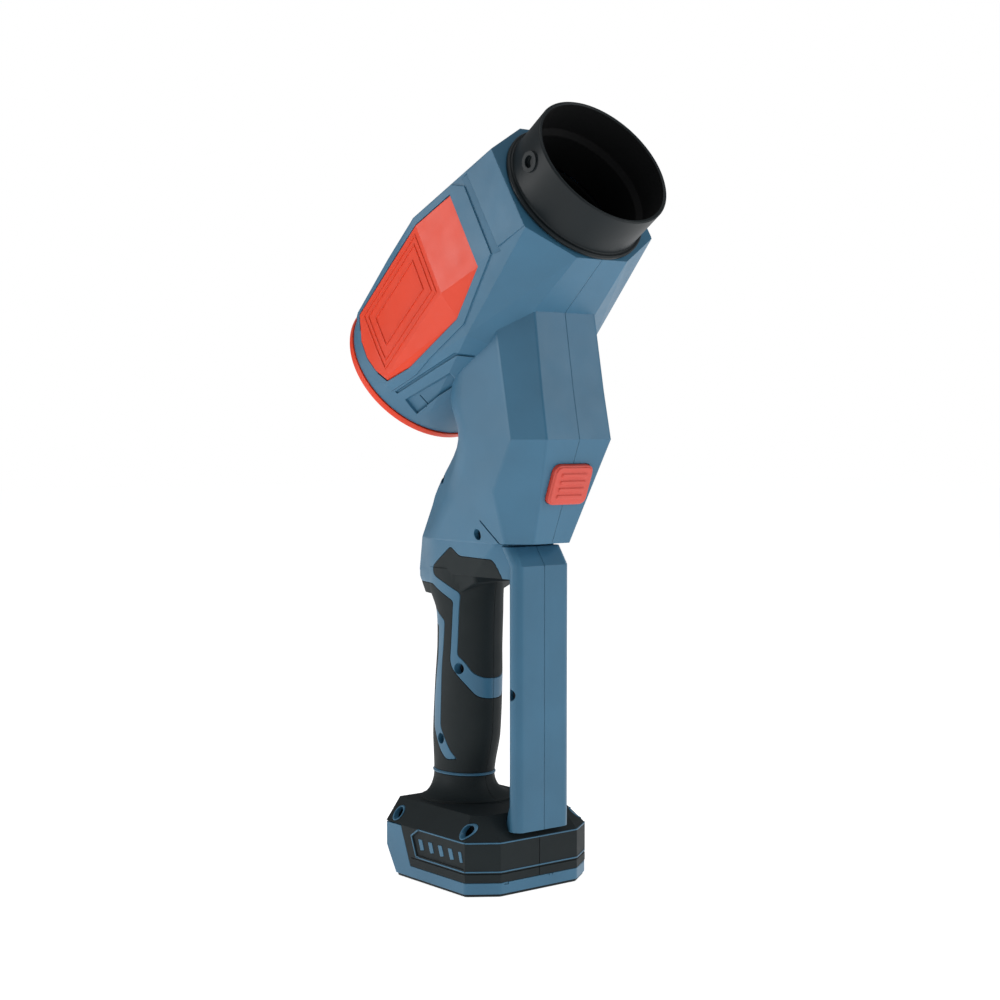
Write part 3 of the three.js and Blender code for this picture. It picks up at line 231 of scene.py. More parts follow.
def raw(bm, name="tool"):
    """A scene object from a bmesh, in millimetres."""
    bmesh.ops.recalc_face_normals(bm, faces=bm.faces)
    mesh = bpy.data.meshes.new(name)
    bm.to_mesh(mesh)
    bm.free()
    obj = bpy.data.objects.new(name, mesh)
    bpy.context.scene.collection.objects.link(obj)
    return obj


def bake(obj):
    """Replaces the mesh by what its modifiers make of it."""
    graph = bpy.context.evaluated_depsgraph_get()
    mesh = bpy.data.meshes.new_from_object(obj.evaluated_get(graph))
    old = obj.data
    obj.modifiers.clear()
    obj.data = mesh
    bpy.data.meshes.remove(old)
    return obj


def drop(obj):
    mesh = obj.data
    bpy.data.objects.remove(obj)
    bpy.data.meshes.remove(mesh)


def combine(base, tool, operation):
    step = base.modifiers.new("step", "BOOLEAN")
    step.object = tool
    step.operation = operation
    step.solver = "EXACT"
    bake(base)
    drop(tool)
    return base


def cut(base, *tools):
    for tool in tools:
        combine(base, tool, "DIFFERENCE")
    return base


def keep(base, tool):
    return combine(base, tool, "INTERSECT")


def unite(base, *tools):
    for tool in tools:
        combine(base, tool, "UNION")
    return base


def twin(obj):
    copy = bpy.data.objects.new(obj.name + "_twin", obj.data.copy())
    bpy.context.scene.collection.objects.link(copy)
    return copy


def tidy_mesh(obj, angle=0.6):
    bm = bmesh.new()
    bm.from_mesh(obj.data)
    bmesh.ops.remove_doubles(bm, verts=bm.verts, dist=0.004)
    bmesh.ops.dissolve_degenerate(bm, dist=0.002, edges=bm.edges)
    bmesh.ops.dissolve_limit(
        bm, angle_limit=math.radians(angle), verts=bm.verts, edges=bm.edges
    )
    bm.to_mesh(obj.data)
    bm.free()
    return obj


def finish(obj, name, material, body="body", replaces=(), bevel=0.0, angle=30, segments=2,
           smooth=32):
    """Bevels, smooths, scales to metres, and hands the piece to its body."""
    tidy_mesh(obj)
    if bevel:
        soft = obj.modifiers.new("bevel", "BEVEL")
        soft.width = bevel
        soft.segments = segments
        soft.limit_method = "ANGLE"
        soft.angle_limit = math.radians(angle)
        soft.use_clamp_overlap = True
        soft.harden_normals = False
        bake(obj)
    mesh = obj.data
    mesh.transform(Matrix.Scale(MM, 4))
    mesh.polygons.foreach_set("use_smooth", [True] * len(mesh.polygons))
    mesh.set_sharp_from_angle(angle=math.radians(smooth))
    shade = obj.modifiers.new("shade", "WEIGHTED_NORMAL")
    shade.keep_sharp = True
    bake(obj)
    mesh = obj.data
    mesh.materials.clear()
    mesh.materials.append(material)
    obj.name = name
    mesh.name = name
    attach(obj, body)
    if replaces:
        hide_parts(*replaces)
    return obj


# ---------------------------------------------------------------- outlines
def area(outline):
    total = 0.0
    for i, (x, y) in enumerate(outline):
        nx, ny = outline[(i + 1) % len(outline)]
        total += x * ny - nx * y
    return total / 2


def offset(outline, distance):
    """Moves every edge of a closed outline outwards."""
    sign = 1 if area(outline) > 0 else -1
    edges = []
    for i, (x, y) in enumerate(outline):
        nx, ny = outline[(i + 1) % len(outline)]
        length = math.hypot(nx - x, ny - y)
        a, b = sign * (ny - y) / length, -sign * (nx - x) / length
        edges.append((a, b, a * x + b * y + distance))
    result = []
    for i, (c, d, reach) in enumerate(edges):
        a, b, before = edges[i - 1]
        scale = a * d - b * c
        if abs(scale) < 1e-6:
            result.append((outline[i][0] + a * distance, outline[i][1] + b * distance))
        else:
            result.append(((before * d - b * reach) / scale, (a * reach - before * c) / scale))
    return result


def mirrored(half):
    other = [(x, -y) for x, y in half if y > 0]
    return list(half) + other[::-1]


def rounded(outline, radii, steps=4):
    """Rounds each corner of a closed outline; radii may be one number or one per corner."""
    count = len(outline)
    if not isinstance(radii, (list, tuple)):
        radii = [radii] * count
    points = []
    for i, corner in enumerate(outline):
        here = Vector(corner)
        before = Vector(outline[i - 1]) - here
        after = Vector(outline[(i + 1) % count]) - here
        reach = min(radii[i], 0.45 * before.length, 0.45 * after.length)
        start = here + before.normalized() * reach
        end = here + after.normalized() * reach
        for k in range(steps + 1):
            u = k / steps
            p = start * (1 - u) ** 2 + here * 2 * u * (1 - u) + end * u ** 2
            points.append((p.x, p.y))
    return points


def ellipse(x, depth, width, sides=56):
    points = []
    for i in range(sides):
        angle = 2 * math.pi * (i + 0.5) / sides
        points.append((x + depth / 2 * math.cos(angle), width / 2 * math.sin(angle)))
    return points


# ---------------------------------------------------------------- solids
def hull(points):
    """The convex solid round some points."""
    bm = bmesh.new()
    for p in points:
        bm.verts.new(p)
    result = bmesh.ops.convex_hull(bm, input=bm.verts)
    loose = [e for e in result["geom_interior"] if isinstance(e, bmesh.types.BMVert)]
    bmesh.ops.delete(bm, geom=loose, context="VERTS")
    bmesh.ops.dissolve_limit(
        bm, angle_limit=math.radians(0.3), verts=bm.verts, edges=bm.edges
    )
    return raw(bm)


def loft(rings):
    """A closed solid through rings of points that all have the same count."""
    bm = bmesh.new()
    rows = [[bm.verts.new(p) for p in ring] for ring in rings]
    count = len(rows[0])
    for lower, upper in zip(rows, rows[1:]):
        for i in range(count):
            j = (i + 1) % count
            bm.faces.new((lower[i], lower[j], upper[j], upper[i]))
    bm.faces.new(rows[0][::-1])
    bm.faces.new(rows[-1])
    return raw(bm)


def level_loft(rings):
    return loft([[(x, y, z) for x, y in outline] for z, outline in rings])


def box(x0, x1, y0, y1, z0, z1):
    corners = [(x0, y0), (x1, y0), (x1, y1), (x0, y1)]
    return loft([[(x, y, z) for x, y in corners] for z in (z0, z1)])


def side_prism(outline, y0=-FAR / 4, y1=FAR / 4):
    return loft([[(x, y, z) for x, z in outline] for y in (y0, y1)])


def cross_pin(x, z, radius, y0, y1, sides=32):
    ring = []
    for i in range(sides):
        angle = 2 * math.pi * i / sides
        ring.append((x + radius * math.cos(angle), z + radius * math.sin(angle)))
    return side_prism(ring, y0, y1)


def turned(profile, sides):
    """A round piece about the x axis from a closed list of (radius, x)."""
    bm = bmesh.new()
    rows = []
    for i in range(sides):
        angle = 2 * math.pi * i / sides
        rows.append([
            bm.verts.new((x, r * math.cos(angle), r * math.sin(angle))) for r, x in profile
        ])
    for i in range(sides):
        row, following = rows[i], rows[(i + 1) % sides]
        for k in range(len(profile)):
            m = (k + 1) % len(profile)
            bm.faces.new((row[k], row[m], following[m], following[k]))
    bmesh.ops.remove_doubles(bm, verts=bm.verts, dist=1e-4)
    return raw(bm)


DUCT = Matrix.Translation((0, 0, DUCT_HEIGHT)) @ Matrix.Rotation(-DUCT_TILT, 4, "Y")


def in_duct(obj):
    obj.data.transform(DUCT)
    return obj


def split(obj, left):
    """The half of a solid on one side of the seam."""
    edge = SEAM / 2
    side = box(-FAR, FAR, edge, FAR, -FAR, 2 * FAR) if left else box(
        -FAR, FAR, -FAR, -edge, -FAR, 2 * FAR
    )
    return keep(obj, side)


# ================================================================ head
def head_rings():
    """Distance along the duct and the +y half of the outline there, from top to bottom."""
    steps = 36
    circle = []
    for i in range(steps + 1):
        angle = math.pi * (0.5 - i / steps)
        radius = INLET_RADIUS - 0.7
        circle.append((max(0.0, radius * math.cos(angle)), radius * math.sin(angle)))
    return [
        (HEAD_FRONT, [(17, 42.5), (43, 26), (43, -24), (17, -41)]),
        (HEAD_MIDDLE, [(22, 50), (48.5, 33.5), (48.5, -14), (45.9, -32), (43.8, -42), (24, -51)]),
        (HEAD_HAUNCH, [(24, 44), (45.7, 23.5), (45.7, -11), (43.8, -24), (24, -44)]),
        (HEAD_REAR, circle),
    ]


def head_hull(grow, front=HEAD_FRONT, rear=HEAD_REAR):
    points = []
    for s, half in head_rings():
        along = {HEAD_FRONT: front, HEAD_REAR: rear}.get(s, s)
        outline = mirrored([(t, y) for y, t in half])
        points += [DUCT @ Vector((along, y, t)) for t, y in offset(outline, grow)]
    return hull(points)


# Side panel's outline, as (s, t).
PANEL = [
    (38, 25), (37, -20), (8, -32), (-42, -28), (-63, -22.5), (-67.5, -13), (-69.3, -3), (-69, 8),
    (-63, 21.5), (9, 28),
]


def panel_prism(grow):
    return in_duct(side_prism(offset(PANEL, grow), -FAR / 4, -20))


# Screw heads on the right side, as (x, z, how far out the head sits).
SCREWS = [
    (GRIP_X + 35, CHIN_BOTTOM + 4, 19),
    (GRIP_X - 5, CHIN_BOTTOM + 33, 12.5),
    (GRIP_X + 9, 114.5, 11.5),
    (GRIP_X - 6, 74, 12),
    (STRUT_FRONT - 5.5, 106, 15),
    (FOOT_FRONT - 15, BAND_TOP + 5, 33),
    (FOOT_REAR + 9, BAND_TOP + 5, 33),
]
for s, t in ((HEAD_FRONT - 27, 41), (HEAD_HAUNCH + 18, 43)):
    place = DUCT @ Vector((s, 0, t))
    SCREWS.append((place.x, place.z, 20))
FOOT_SCREWS = SCREWS[5:7]


def screw_wells(obj, grow=WELL_GAP):
    for x, z, depth in SCREWS:
        cut(obj, cross_pin(x, z, SCREW_RADIUS + grow, -FAR / 4, -depth + 2.4))
    return obj


def section(grow, s):
    """The head's outline at one place along the duct."""
    slab = in_duct(box(s, s + 0.02, -FAR / 4, FAR / 4, -FAR / 4, FAR / 4))
    keep(slab, head_hull(grow))
    points = [v.co.copy() for v in slab.data.vertices]
    drop(slab)
    return points


def front_band():
    """Raised band round the front; its rear flank slopes up out of the side."""
    band = hull(section(0.8, 54.5) + section(0.3, HEAD_FRONT - 0.05))
    cut(band, head_hull(-1.5, HEAD_FRONT + 5, HEAD_REAR))
    return keep(band, in_duct(side_prism([(45, 27.5), (80, 25.5), (80, -23.5), (45, -19.5)])))


def make_head(left):
    """One half of the head's shell; only the right half has screw wells."""
    hand = "left" if left else "right"
    shell = head_hull(0)
    cut(shell, head_hull(-HOUSING_WALL, HEAD_FRONT - HOUSING_WALL, HEAD_REAR - 2))
    cut(shell, in_duct(turned([(0, 50), (37.1, 50), (37.1, 90), (0, 90)], 96)))
    frame_edge = [(49.5, 22), (48.5, -20.5), (10, -37), (-42.6, -32.6), (-67, -27), (-67, 25.5),
                  (9.4, 32.6), (42, 28.8)]
    panel_frame = keep(head_hull(FRAME_RISE), in_duct(side_prism(frame_edge, -FAR / 4, -20)))
    unite(shell, cut(panel_frame, head_hull(-PANEL_SEAT)))
    pocket = keep(head_hull(3), panel_prism(0.4))
    cut(pocket, head_hull(-1.7))
    cut(shell, pocket)
    sunken = [(49.6, 27), (54.5, 27), (54.5, -23), (49.6, -21.5)]
    bottom = hull(section(-0.05, 30) + section(-0.05, 50) + section(-1.1, 54.6) + section(-1.1, 60))
    channel = keep(head_hull(3), in_duct(side_prism(sunken, -FAR / 4, -20)))
    unite(shell, front_band())
    cut(shell, cut(channel, bottom))
    for window, sink in VENTS:
        recess = keep(head_hull(3), in_duct(side_prism(window, -FAR / 4, -20)))
        cut(recess, head_hull(-sink))
        cut(shell, recess)
    line = keep(head_hull(3), in_duct(side_prism(VENT_LINE, -FAR / 4, -20)))
    cut(line, head_hull(-0.9))
    cut(shell, line)
    shell = split(shell, False)
    if left:
        shell.data.transform(Matrix.Scale(-1, 4, (0, 1, 0)))
        shell.data.flip_normals()
    else:
        screw_wells(shell)
    return finish(shell, f"head_shell_{hand}", blue, bevel=0.45, angle=24, smooth=6.5,
                  replaces=[f"housing_{hand}"])


# Recesses below the panel: outline as (s, t), and depth.
VENTS = [
    ([(-65, -33.4), (-25, -43), (-29.5, -46.2), (-70, -39.8)], 1.6),
    ([(-56.4, -36.2), (-55.5, -36.4), (-59.1, -41.9), (-60.0, -41.7)], 2.4),
]
VENT_LINE = [(-65.5, -28), (-9, -41.2), (-4, -46), (-5, -47), (-9.8, -42.4), (-65.7, -29.3)]

for left in (False, True):
    make_head(left)


# Panel: its border lies on the shell, its main face stands proud of it; [s, t, y] on the left.
FACE = [(9, 27.6, 49.6), (7.8, -15.5, 49.6), (-62, -21.5, 46.6), (-67, -12, 46.9),
        (-68.6, -3, 47.0), (-68.3, 7.5, 47.1), (-62.5, 21, 47.1)]
bare_head = head_hull(0)  # only measured, for skin_y
bare_head.data.transform(DUCT.inverted())
head_skin = BVHTree.FromPolygons(
    [v.co.copy() for v in bare_head.data.vertices],
    [list(polygon.vertices) for polygon in bare_head.data.polygons],
)
drop(bare_head)


def skin_y(s, t):
    """How far out the head's left side is, there."""
    return head_skin.ray_cast(Vector((s, FAR, t)), Vector((0, -1, 0)))[0].y


def panel_hull(lift=0.0):
    """The panel as one convex solid, lifted for its raised outlines."""
    points = []
    for s, t in PANEL:
        y = skin_y(s, t)
        points += [(s, y + 0.1 + lift, t), (s, y - 2.4, t)]
    points += [(s, y + lift, t) for s, t, y in FACE]
    return in_duct(hull([Vector(p) for p in points]))


def make_panel(left):
    plate = panel_hull()
    outline = [FACE[k][:2] for k in (0, 1, 2, 6)]
    for inset, width in ((3.0, 0.9), (6.4, 0.8), (12.0, 0.7)):
        ridge = in_duct(side_prism(offset(outline, -inset), 20, FAR / 4))
        cut(ridge, in_duct(side_prism(offset(outline, -inset - width), 20, FAR / 4)))
        unite(plate, keep(ridge, panel_hull(0.45)))
    if not left:
        plate.data.transform(Matrix.Scale(-1, 4, (0, 1, 0)))
        plate.data.flip_normals()
    name = f"side_panel_{'left' if left else 'right'}"
    return finish(plate, f"{name}_cover", orange, bevel=0.3, angle=20, smooth=3.0,
                  replaces=[name])


for left in (False, True):
    make_panel(left)

# ================================================================ chin and neck
NECK = [
    (ROOF - 0.5, [(29, 14), (0, 17), (GRIP_X - 12, 17), (GRIP_X - 37, 9)]),
    (CHIN_BOTTOM - 0.8, [(30, 15), (22, 20.4), (GRIP_X - 12, 19.8), (GRIP_X - 32.4, 10)]),
    (CHIN_BOTTOM, [(46, 12.3), (33, 21.6), (GRIP_X - 12, 20), (GRIP_X - 32, 10)]),
    (CHIN_BOTTOM + 27.5, [(57.2, 17), (31, 28), (GRIP_X + 14, 24), (GRIP_X - 15, 12)]),
    (CREASE, [(68, 22), (51, 32), (5, 31), (GRIP_X + 11, 16)]),
    (CREASE + 25, [(63.1, 21.4), (45.5, 32), (-1, 31), (-21.5, 16)]),
    (CHIN_TOP + 6, [(55.8, 20.5), (37, 32), (10, 31), (0, 16)]),
]
NECK_ROUNDING = [1.0, 1.6, 9.0, 5.0]
SHORT_STEP = 5  # rings closer than this are joined straight
CHIN_EDGE = 20  # and so are those this near the chin's lower edge


def catmull(a, b, c, d, u):
    return 0.5 * (2 * b + (c - a) * u + (2 * a - 5 * b + 4 * c - d) * u * u
                  + (3 * b - a - 3 * c + d) * u ** 3)


def neck_half(z):
    """The half outline at a height: straight between rings in front, smooth at the rear."""
    levels = [row[0] for row in NECK]
    k = max(0, min(len(NECK) - 2, sum(z > level for level in levels[1:-1])))
    u = (z - levels[k]) / (levels[k + 1] - levels[k])
    rows = [NECK[max(0, k - 1)][1], NECK[k][1], NECK[k + 1][1], NECK[min(len(NECK) - 1, k + 2)][1]]
    half = []
    for corner in range(4):
        point = []
        for axis in range(2):
            a, b, c, d = (row[corner][axis] for row in rows)
            straight = b + (c - b) * u
            curved = (corner > 1 and levels[k + 1] - levels[k] > SHORT_STEP
                      and abs(z - CHIN_BOTTOM) > CHIN_EDGE)
            point.append(catmull(a, b, c, d, u) if curved else straight)
        half.append(tuple(point))
    return half


def neck_solid(grow=0.0):
    rings = []
    levels = set()
    for (low, _), (high, _) in zip(NECK, NECK[1:]):
        levels |= {round(low + (high - low) * k / 6, 3) for k in range(7)}
    for z in sorted(levels):
        outline = offset(mirrored(neck_half(z)), grow)
        radii = NECK_ROUNDING + NECK_ROUNDING[::-1]
        rings.append((z, rounded(outline, radii, 7)))
    return level_loft(rings)


# ================================================================ handle
# Grip sections, as (z, x of the middle, depth, width).
GRIP = [
    (44, GRIP_X - 5, 39, 32),
    (48, GRIP_X - 5, 39, 32),
    (56.1, GRIP_X - 5, 39, 31),
    (76.3, GRIP_X - 3, 46, 32),
    (106.5, GRIP_X - 1, 45, 32.6),
    (126.7, GRIP_X, 43, 32),
    (145.6, GRIP_X, 44, 33),
    (156.9, GRIP_X - 3, 52, 34),
    (170, GRIP_X - 3, 56, 36),
]


def grip_at(z):
    k = max(0, min(len(GRIP) - 2, sum(z > row[0] for row in GRIP[1:-1])))
    u = (z - GRIP[k][0]) / (GRIP[k + 1][0] - GRIP[k][0])
    rows = [GRIP[max(0, k - 1)], GRIP[k], GRIP[k + 1], GRIP[min(len(GRIP) - 1, k + 2)]]
    return [catmull(*(row[i] for row in rows), u) for i in (1, 2, 3)]


def grip_solid(grow=0.0, bottom=44.0, top=170.0):
    rings = []
    steps = int((top - bottom) / 2.5)
    for i in range(steps + 1):
        z = bottom + (top - bottom) * i / steps
        x, depth, width = grip_at(z)
        rings.append((z, ellipse(x, depth + 2 * grow, width + 2 * grow)))
    return level_loft(rings)


def tang_solid(grow=0.0):
    """The web that carries the grip's back up into the neck."""
    rings = [
        (ROOF - 13, [(GRIP_X + 6, 15), (GRIP_X - 16, 14), (GRIP_X - 33, 8)]),
        (ROOF - 4, [(0, 15), (GRIP_X - 16, 16), (GRIP_X - 37, 9)]),
        (ROOF + 1, [(0, 16), (GRIP_X - 13, 17), (GRIP_X - 37, 9)]),
    ]
    return level_loft([
        (z, rounded(offset(mirrored(half), grow), [3, 10, 6, 6, 10, 3], 5)) for z, half in rings
    ])


# Rubber areas and the blue stripe between them, seen from the side, as (x, z).
FINGER = [
    (GRIP_X + 8, ROOF + 15), (GRIP_X - 11.5, ROOF + 3), (GRIP_X - 10.5, ROOF - 1.5),
    (GRIP_X, ROOF - 5.5), (GRIP_X + 10.5, ROOF - 10.5), (GRIP_X + 8, ROOF - 45),
    (GRIP_X + 12.5, ROOF - 48.5), (GRIP_X + 16.5, ROOF - 54.5), (GRIP_X + 21, ROOF - 57.5),
    (GRIP_X + 40, ROOF - 58), (GRIP_X + 49, ROOF - 4), (GRIP_X + 42, ROOF + 9.5),
    (GRIP_X + 15, ROOF + 10),
]
SLEEVE = [
    (GRIP_X - 60, ROOF - 7), (GRIP_X - 13, ROOF - 7), (GRIP_X + 5.5, ROOF - 15.5),
    (GRIP_X + 2.5, ROOF - 48), (GRIP_X + 4, ROOF - 52.5), (GRIP_X + 13, ROOF - 61.5),
    (GRIP_X + 18, ROOF - 68), (GRIP_X + 24, ROOF - 70), (GRIP_X + 40, ROOF - 70),
    (GRIP_X + 40, SLEEVE_BOTTOM), (GRIP_X - 60, SLEEVE_BOTTOM),
]
STRIPE = [
    (GRIP_X - 60, ROOF - 21), (GRIP_X - 12, ROOF - 21), (GRIP_X - 1.5, ROOF - 26.5),
    (GRIP_X - 4.5, ROOF - 50), (GRIP_X - 6, ROOF - 86), (GRIP_X + 2, ROOF - 99),
    (GRIP_X + 6.5, ROOF - 103.5), (GRIP_X - 1.5, ROOF - 104.5), (GRIP_X - 6.5, ROOF - 100),
    (GRIP_X - 15, ROOF - 87), (GRIP_X - 15.5, ROOF - 73), (GRIP_X - 11, ROOF - 50),
    (GRIP_X - 9.5, ROOF - 30), (GRIP_X - 60, ROOF - 27),
]


def soft_area(outline, grow=0.0):
    return side_prism(rounded(offset(outline, grow), SOFT_CORNER, 4))


def handle_solid(grow=0.0):
    """Grip, tang and neck as one body."""
    body = grip_solid(grow, top=ROOF + 2.5)
    unite(body, tang_solid(grow), neck_solid(grow))
    return body


def strut_rings():
    def outline(front, extra=0.0):
        return mirrored([
            (front, 15), (front - 2, 17.8), (front - 5.5, 19),
            (front - 14 - extra, 12.5 + extra), (front - 16 - extra, 9 + extra),
        ])

    return [
        (33, outline(STRUT_FRONT, 2)), (FOOT_TOP + 4, outline(STRUT_FRONT)),
        (ROOF + 7, outline(STRUT_FRONT)), (ROOF + 17, outline(STRUT_FRONT - 7)),
    ]


def strut_solid(grow=0.0):
    radii = [1.2, 1.2, 1.6, 3, 3, 3, 3, 1.6, 1.2, 1.2]
    return level_loft([(z, rounded(offset(o, grow), radii, 3)) for z, o in strut_rings()])


handle = handle_solid()
core = handle_solid(-RUBBER)

rubber_skin = cut(twin(handle), core)
finger = keep(twin(rubber_skin), soft_area(FINGER))
sleeve_area = cut(soft_area(SLEEVE), soft_area(STRIPE))
sleeve = keep(twin(rubber_skin), sleeve_area)
drop(rubber_skin)

FACE_RUN = 21.5
BUTTON_TILT = math.atan2(FACE_RUN, CHIN_RISE)
BUTTON_DROP = 0.42  # how far down the chin's face, as a share of its length
BUTTON_PLACE = Matrix.Translation(
    (CHIN_FACE - FACE_RUN * BUTTON_DROP, 0, CHIN_BOTTOM + (1 - BUTTON_DROP) * CHIN_RISE)
) @ Matrix.Rotation(BUTTON_TILT, 4, "Y")


def face_plate(width, height, corner, x0, x1):
    w, h = width / 2, height / 2
    outline = rounded([(w, h), (-w, h), (-w, -h), (w, -h)], corner, 6)
    return loft([[(x, y, z) for y, z in outline] for x in (x0, x1)])


def at_button(obj):
    obj.data.transform(BUTTON_PLACE)
    return obj


wide_skin = cut(handle_solid(1.5), handle_solid(-RUBBER - RUBBER_GAP))
cut(handle, keep(twin(wide_skin), soft_area(FINGER, RUBBER_GAP)))
pocket_area = cut(soft_area(SLEEVE, RUBBER_GAP), soft_area(STRIPE, -RUBBER_GAP))
cut(handle, keep(twin(wide_skin), pocket_area))
cut(handle, keep(twin(wide_skin), box(-FAR, FAR, -FAR, FAR, 0, FLARE_TOP + 0.6)))
step_line = [(31, 184.4), (14.5, 198.2), (14, 197.4), (30.4, 183.6)]
cut(handle, keep(cut(wide_skin, handle_solid(-0.8)), side_prism(step_line)))
inner_duct = in_duct(turned([(0, -85), (36, -85), (36, 70), (0, 70)], 64))
cut(handle, inner_duct)
cut(handle, at_button(face_plate(
    BUTTON_WIDTH + 2 * GAP, BUTTON_HEIGHT + 2 * GAP, BUTTON_CORNER + GAP, -14, 8
)))
cut(handle, box(-FAR, FAR, -SEAM / 2, SEAM / 2, -FAR, 2 * FAR))
screw_wells(handle)
finish(handle, "handle_shell", blue, bevel=0.5, angle=26, smooth=24)

for obj, name in ((finger, "finger_pad"), (sleeve, "grip_sleeve")):
    screw_wells(obj, 0.9)
    for left in (True, False):
        side = "left" if left else "right"
        part = split(twin(obj), left)
        finish(part, f"{name}_{side}_skin", rubber, bevel=0.45, angle=40, smooth=34,
               replaces=[f"{name}_{side}"])
    drop(obj)

strut = strut_solid()
cut(strut, strut_solid(-HOUSING_WALL))
cut(strut, box(-FAR, FAR, -SEAM / 2, SEAM / 2, -FAR, 2 * FAR))
screw_wells(strut)
finish(strut, "strut_shell", blue, bevel=0.4, angle=40)


# ================================================================ foot
FOOT_HALF = [
    (FOOT_FRONT, FOOT_WIDTH / 2 - 15.5), (FOOT_FRONT - 11, FOOT_WIDTH / 2),
    (FOOT_REAR + 2, FOOT_WIDTH / 2), (FOOT_REAR, FOOT_WIDTH / 2 - 6),
]
FOOT_OUTLINE = mirrored(FOOT_HALF)
CROWN = mirrored([
    (FOOT_FRONT - 12, FOOT_WIDTH / 2 - 17), (FOOT_FRONT - 19, FOOT_WIDTH / 2 - 10),
    (FOOT_REAR + 1.5, FOOT_WIDTH / 2 - 10),
])


def foot_block(grow, z0, z1):
    outline = rounded(offset(FOOT_OUTLINE, grow), max(0.3, FOOT_CORNER + grow * 0.3), 3)
    return level_loft([(z0, outline), (z1, outline)])


def shoe_solid(grow=0.0):
    points = [(x, y, STRIP_TOP + GAP) for x, y in offset(FOOT_OUTLINE, grow)]
    points += [(x, y, BAND_TOP) for x, y in offset(FOOT_OUTLINE, grow)]
    points += [(x, y, FOOT_TOP + grow) for x, y in offset(CROWN, grow)]
    return hull(points)


BLOCK_FOOT = FOOT_REAR + 25
BLOCK = [
    (BLOCK_FOOT, STRIP_TOP), (BLOCK_FOOT - 9, BAND_TOP), (-FAR, BAND_TOP), (-FAR, STRIP_TOP),
]
FLARE_RADIUS = 12.0


def flare_solid():
    """The concave sweep from the grip down on to the shoulder; flat at the rear."""
    x, depth, width = grip_at(FLARE_TOP)
    rings = []
    steps = 12
    for i in range(steps + 1):
        angle = math.radians(88) * (1 - i / steps)
        out = FLARE_RADIUS * (1 - math.cos(angle))
        z = FLARE_TOP - FLARE_RADIUS * math.sin(angle)
        ring = []
        for k in range(56):
            turn = 2 * math.pi * (k + 0.5) / 56
            reach = out if math.cos(turn) > 0 else min(out, 49 - 0.5 * depth + x)
            ring.append((
                x + (depth / 2 + max(0.0, reach)) * math.cos(turn),
                (width / 2 + out) * math.sin(turn),
            ))
        rings.append((z, ring))
    lowest = rings[0][1]
    return level_loft([(FOOT_TOP - 6, lowest)] + rings)


shoe = shoe_solid()
unite(shoe, flare_solid())
tidy_mesh(shoe, 0.4)
cut(shoe, side_prism(offset(BLOCK, GAP)))
cut(shoe, strut_solid(0.3))
cut(shoe, foot_block(-CORE_INSET + 0.5, 0, BAND_TOP + GAP))
cut(shoe, grip_solid(-4.6, bottom=44, top=80))
for x, z, depth in FOOT_SCREWS:
    cut(shoe, cross_pin(x, z, RIM_RADIUS + 0.1, -FAR / 4, -depth + 1.0))

WINDOW = [(-17, 28.9), (-23.5, 24.6), (-18.8, 13.2), (60, 13.2), (60, 28.9)]


def band_ring(z0, z1, inner, outer, rear):
    """A strip round the foot's front and sides, from the given x forward."""
    strip = foot_block(outer, z0, z1)
    cut(strip, foot_block(inner, z0 - 1, z1 + 1))
    return keep(strip, box(rear, FAR, -FAR, FAR, -FAR, FAR))


cut(shoe, band_ring(STRIP_TOP + 4.6, STRIP_TOP + 5.1, -0.7, 2, FOOT_REAR + 26))
cut(shoe, band_ring(BAND_TOP + 0.4, BAND_TOP + 0.8, -0.6, 2, -16))
cut(shoe, box(20, FAR, -0.2, 0.2, STRIP_TOP, BAND_TOP))
for side in (-1, 1):
    y0, y1 = (-FAR, -FOOT_WIDTH / 2 + 0.7) if side < 0 else (FOOT_WIDTH / 2 - 0.7, FAR)
    panel = side_prism(offset(WINDOW, -1.2), y0, y1)
    keep(panel, box(-FAR, 24.0, -FAR, FAR, -FAR, FAR))
    cut(shoe, panel)
for left in (True, False):
    side = "left" if left else "right"
    part = split(twin(shoe), left)
    finish(part, f"foot_bumper_{side}_shoe", rubber, bevel=0.7, angle=28, smooth=32,
           replaces=[f"foot_bumper_{side}"])
drop(shoe)

liner = foot_block(-CORE_INSET + SHOE_WALL + 0.4, STRIP_TOP + GAP, BAND_TOP + 2)
cut(liner, foot_block(-CORE_INSET + 0.5, 0, BAND_TOP + GAP))
cut(liner, side_prism(offset(BLOCK, GAP)))
finish(liner, "shoe_liner", blue, bevel=0.2)


for name, z0, z1, rear in (("piping_upper", BAND_TOP - 0.35, BAND_TOP + 0.35, -17),
                           ("piping_lower", 13.0, 13.7, -18.9)):
    finish(band_ring(z0, z1, -PIPING_DEPTH, PIPING_PROUD, rear), name, blue, bevel=0.12)
for side in (-1, 1):
    hand = "right" if side < 0 else "left"
    y0, y1 = sorted(
        side * (FOOT_WIDTH / 2 + out) for out in (-PIPING_DEPTH, PIPING_PROUD)
    )
    stroke = side_prism(offset(WINDOW, 0.0), y0, y1)
    cut(stroke, side_prism(offset(WINDOW, -0.8)))
    keep(stroke, box(-FAR, -15.5, -FAR, FAR, -FAR, FAR))
    finish(stroke, f"piping_end_{hand}", blue, bevel=0.1)
    bars = None
    for i in range(5):
        x = -15.5 + i * 8.9
        slot_outline = [(x - 1.8, 23.4), (x + 1.6, 23.6), (x + 3.6, 18.2), (x + 0.4, 17.6)]
        if i == 4:
            slot_outline = [(x - 1.6, 23.2), (x + 0.8, 23.4), (x + 2.4, 18.0), (x + 0.0, 17.6)]
        y_in, y_out = (-41.55, -40.9) if side < 0 else (40.9, 41.55)
        bar = side_prism(rounded(slot_outline, 0.5, 2), y_in, y_out)
        bars = bar if bars is None else unite(bars, bar)
    finish(bars, f"charge_windows_{hand}", blue, bevel=0.12)

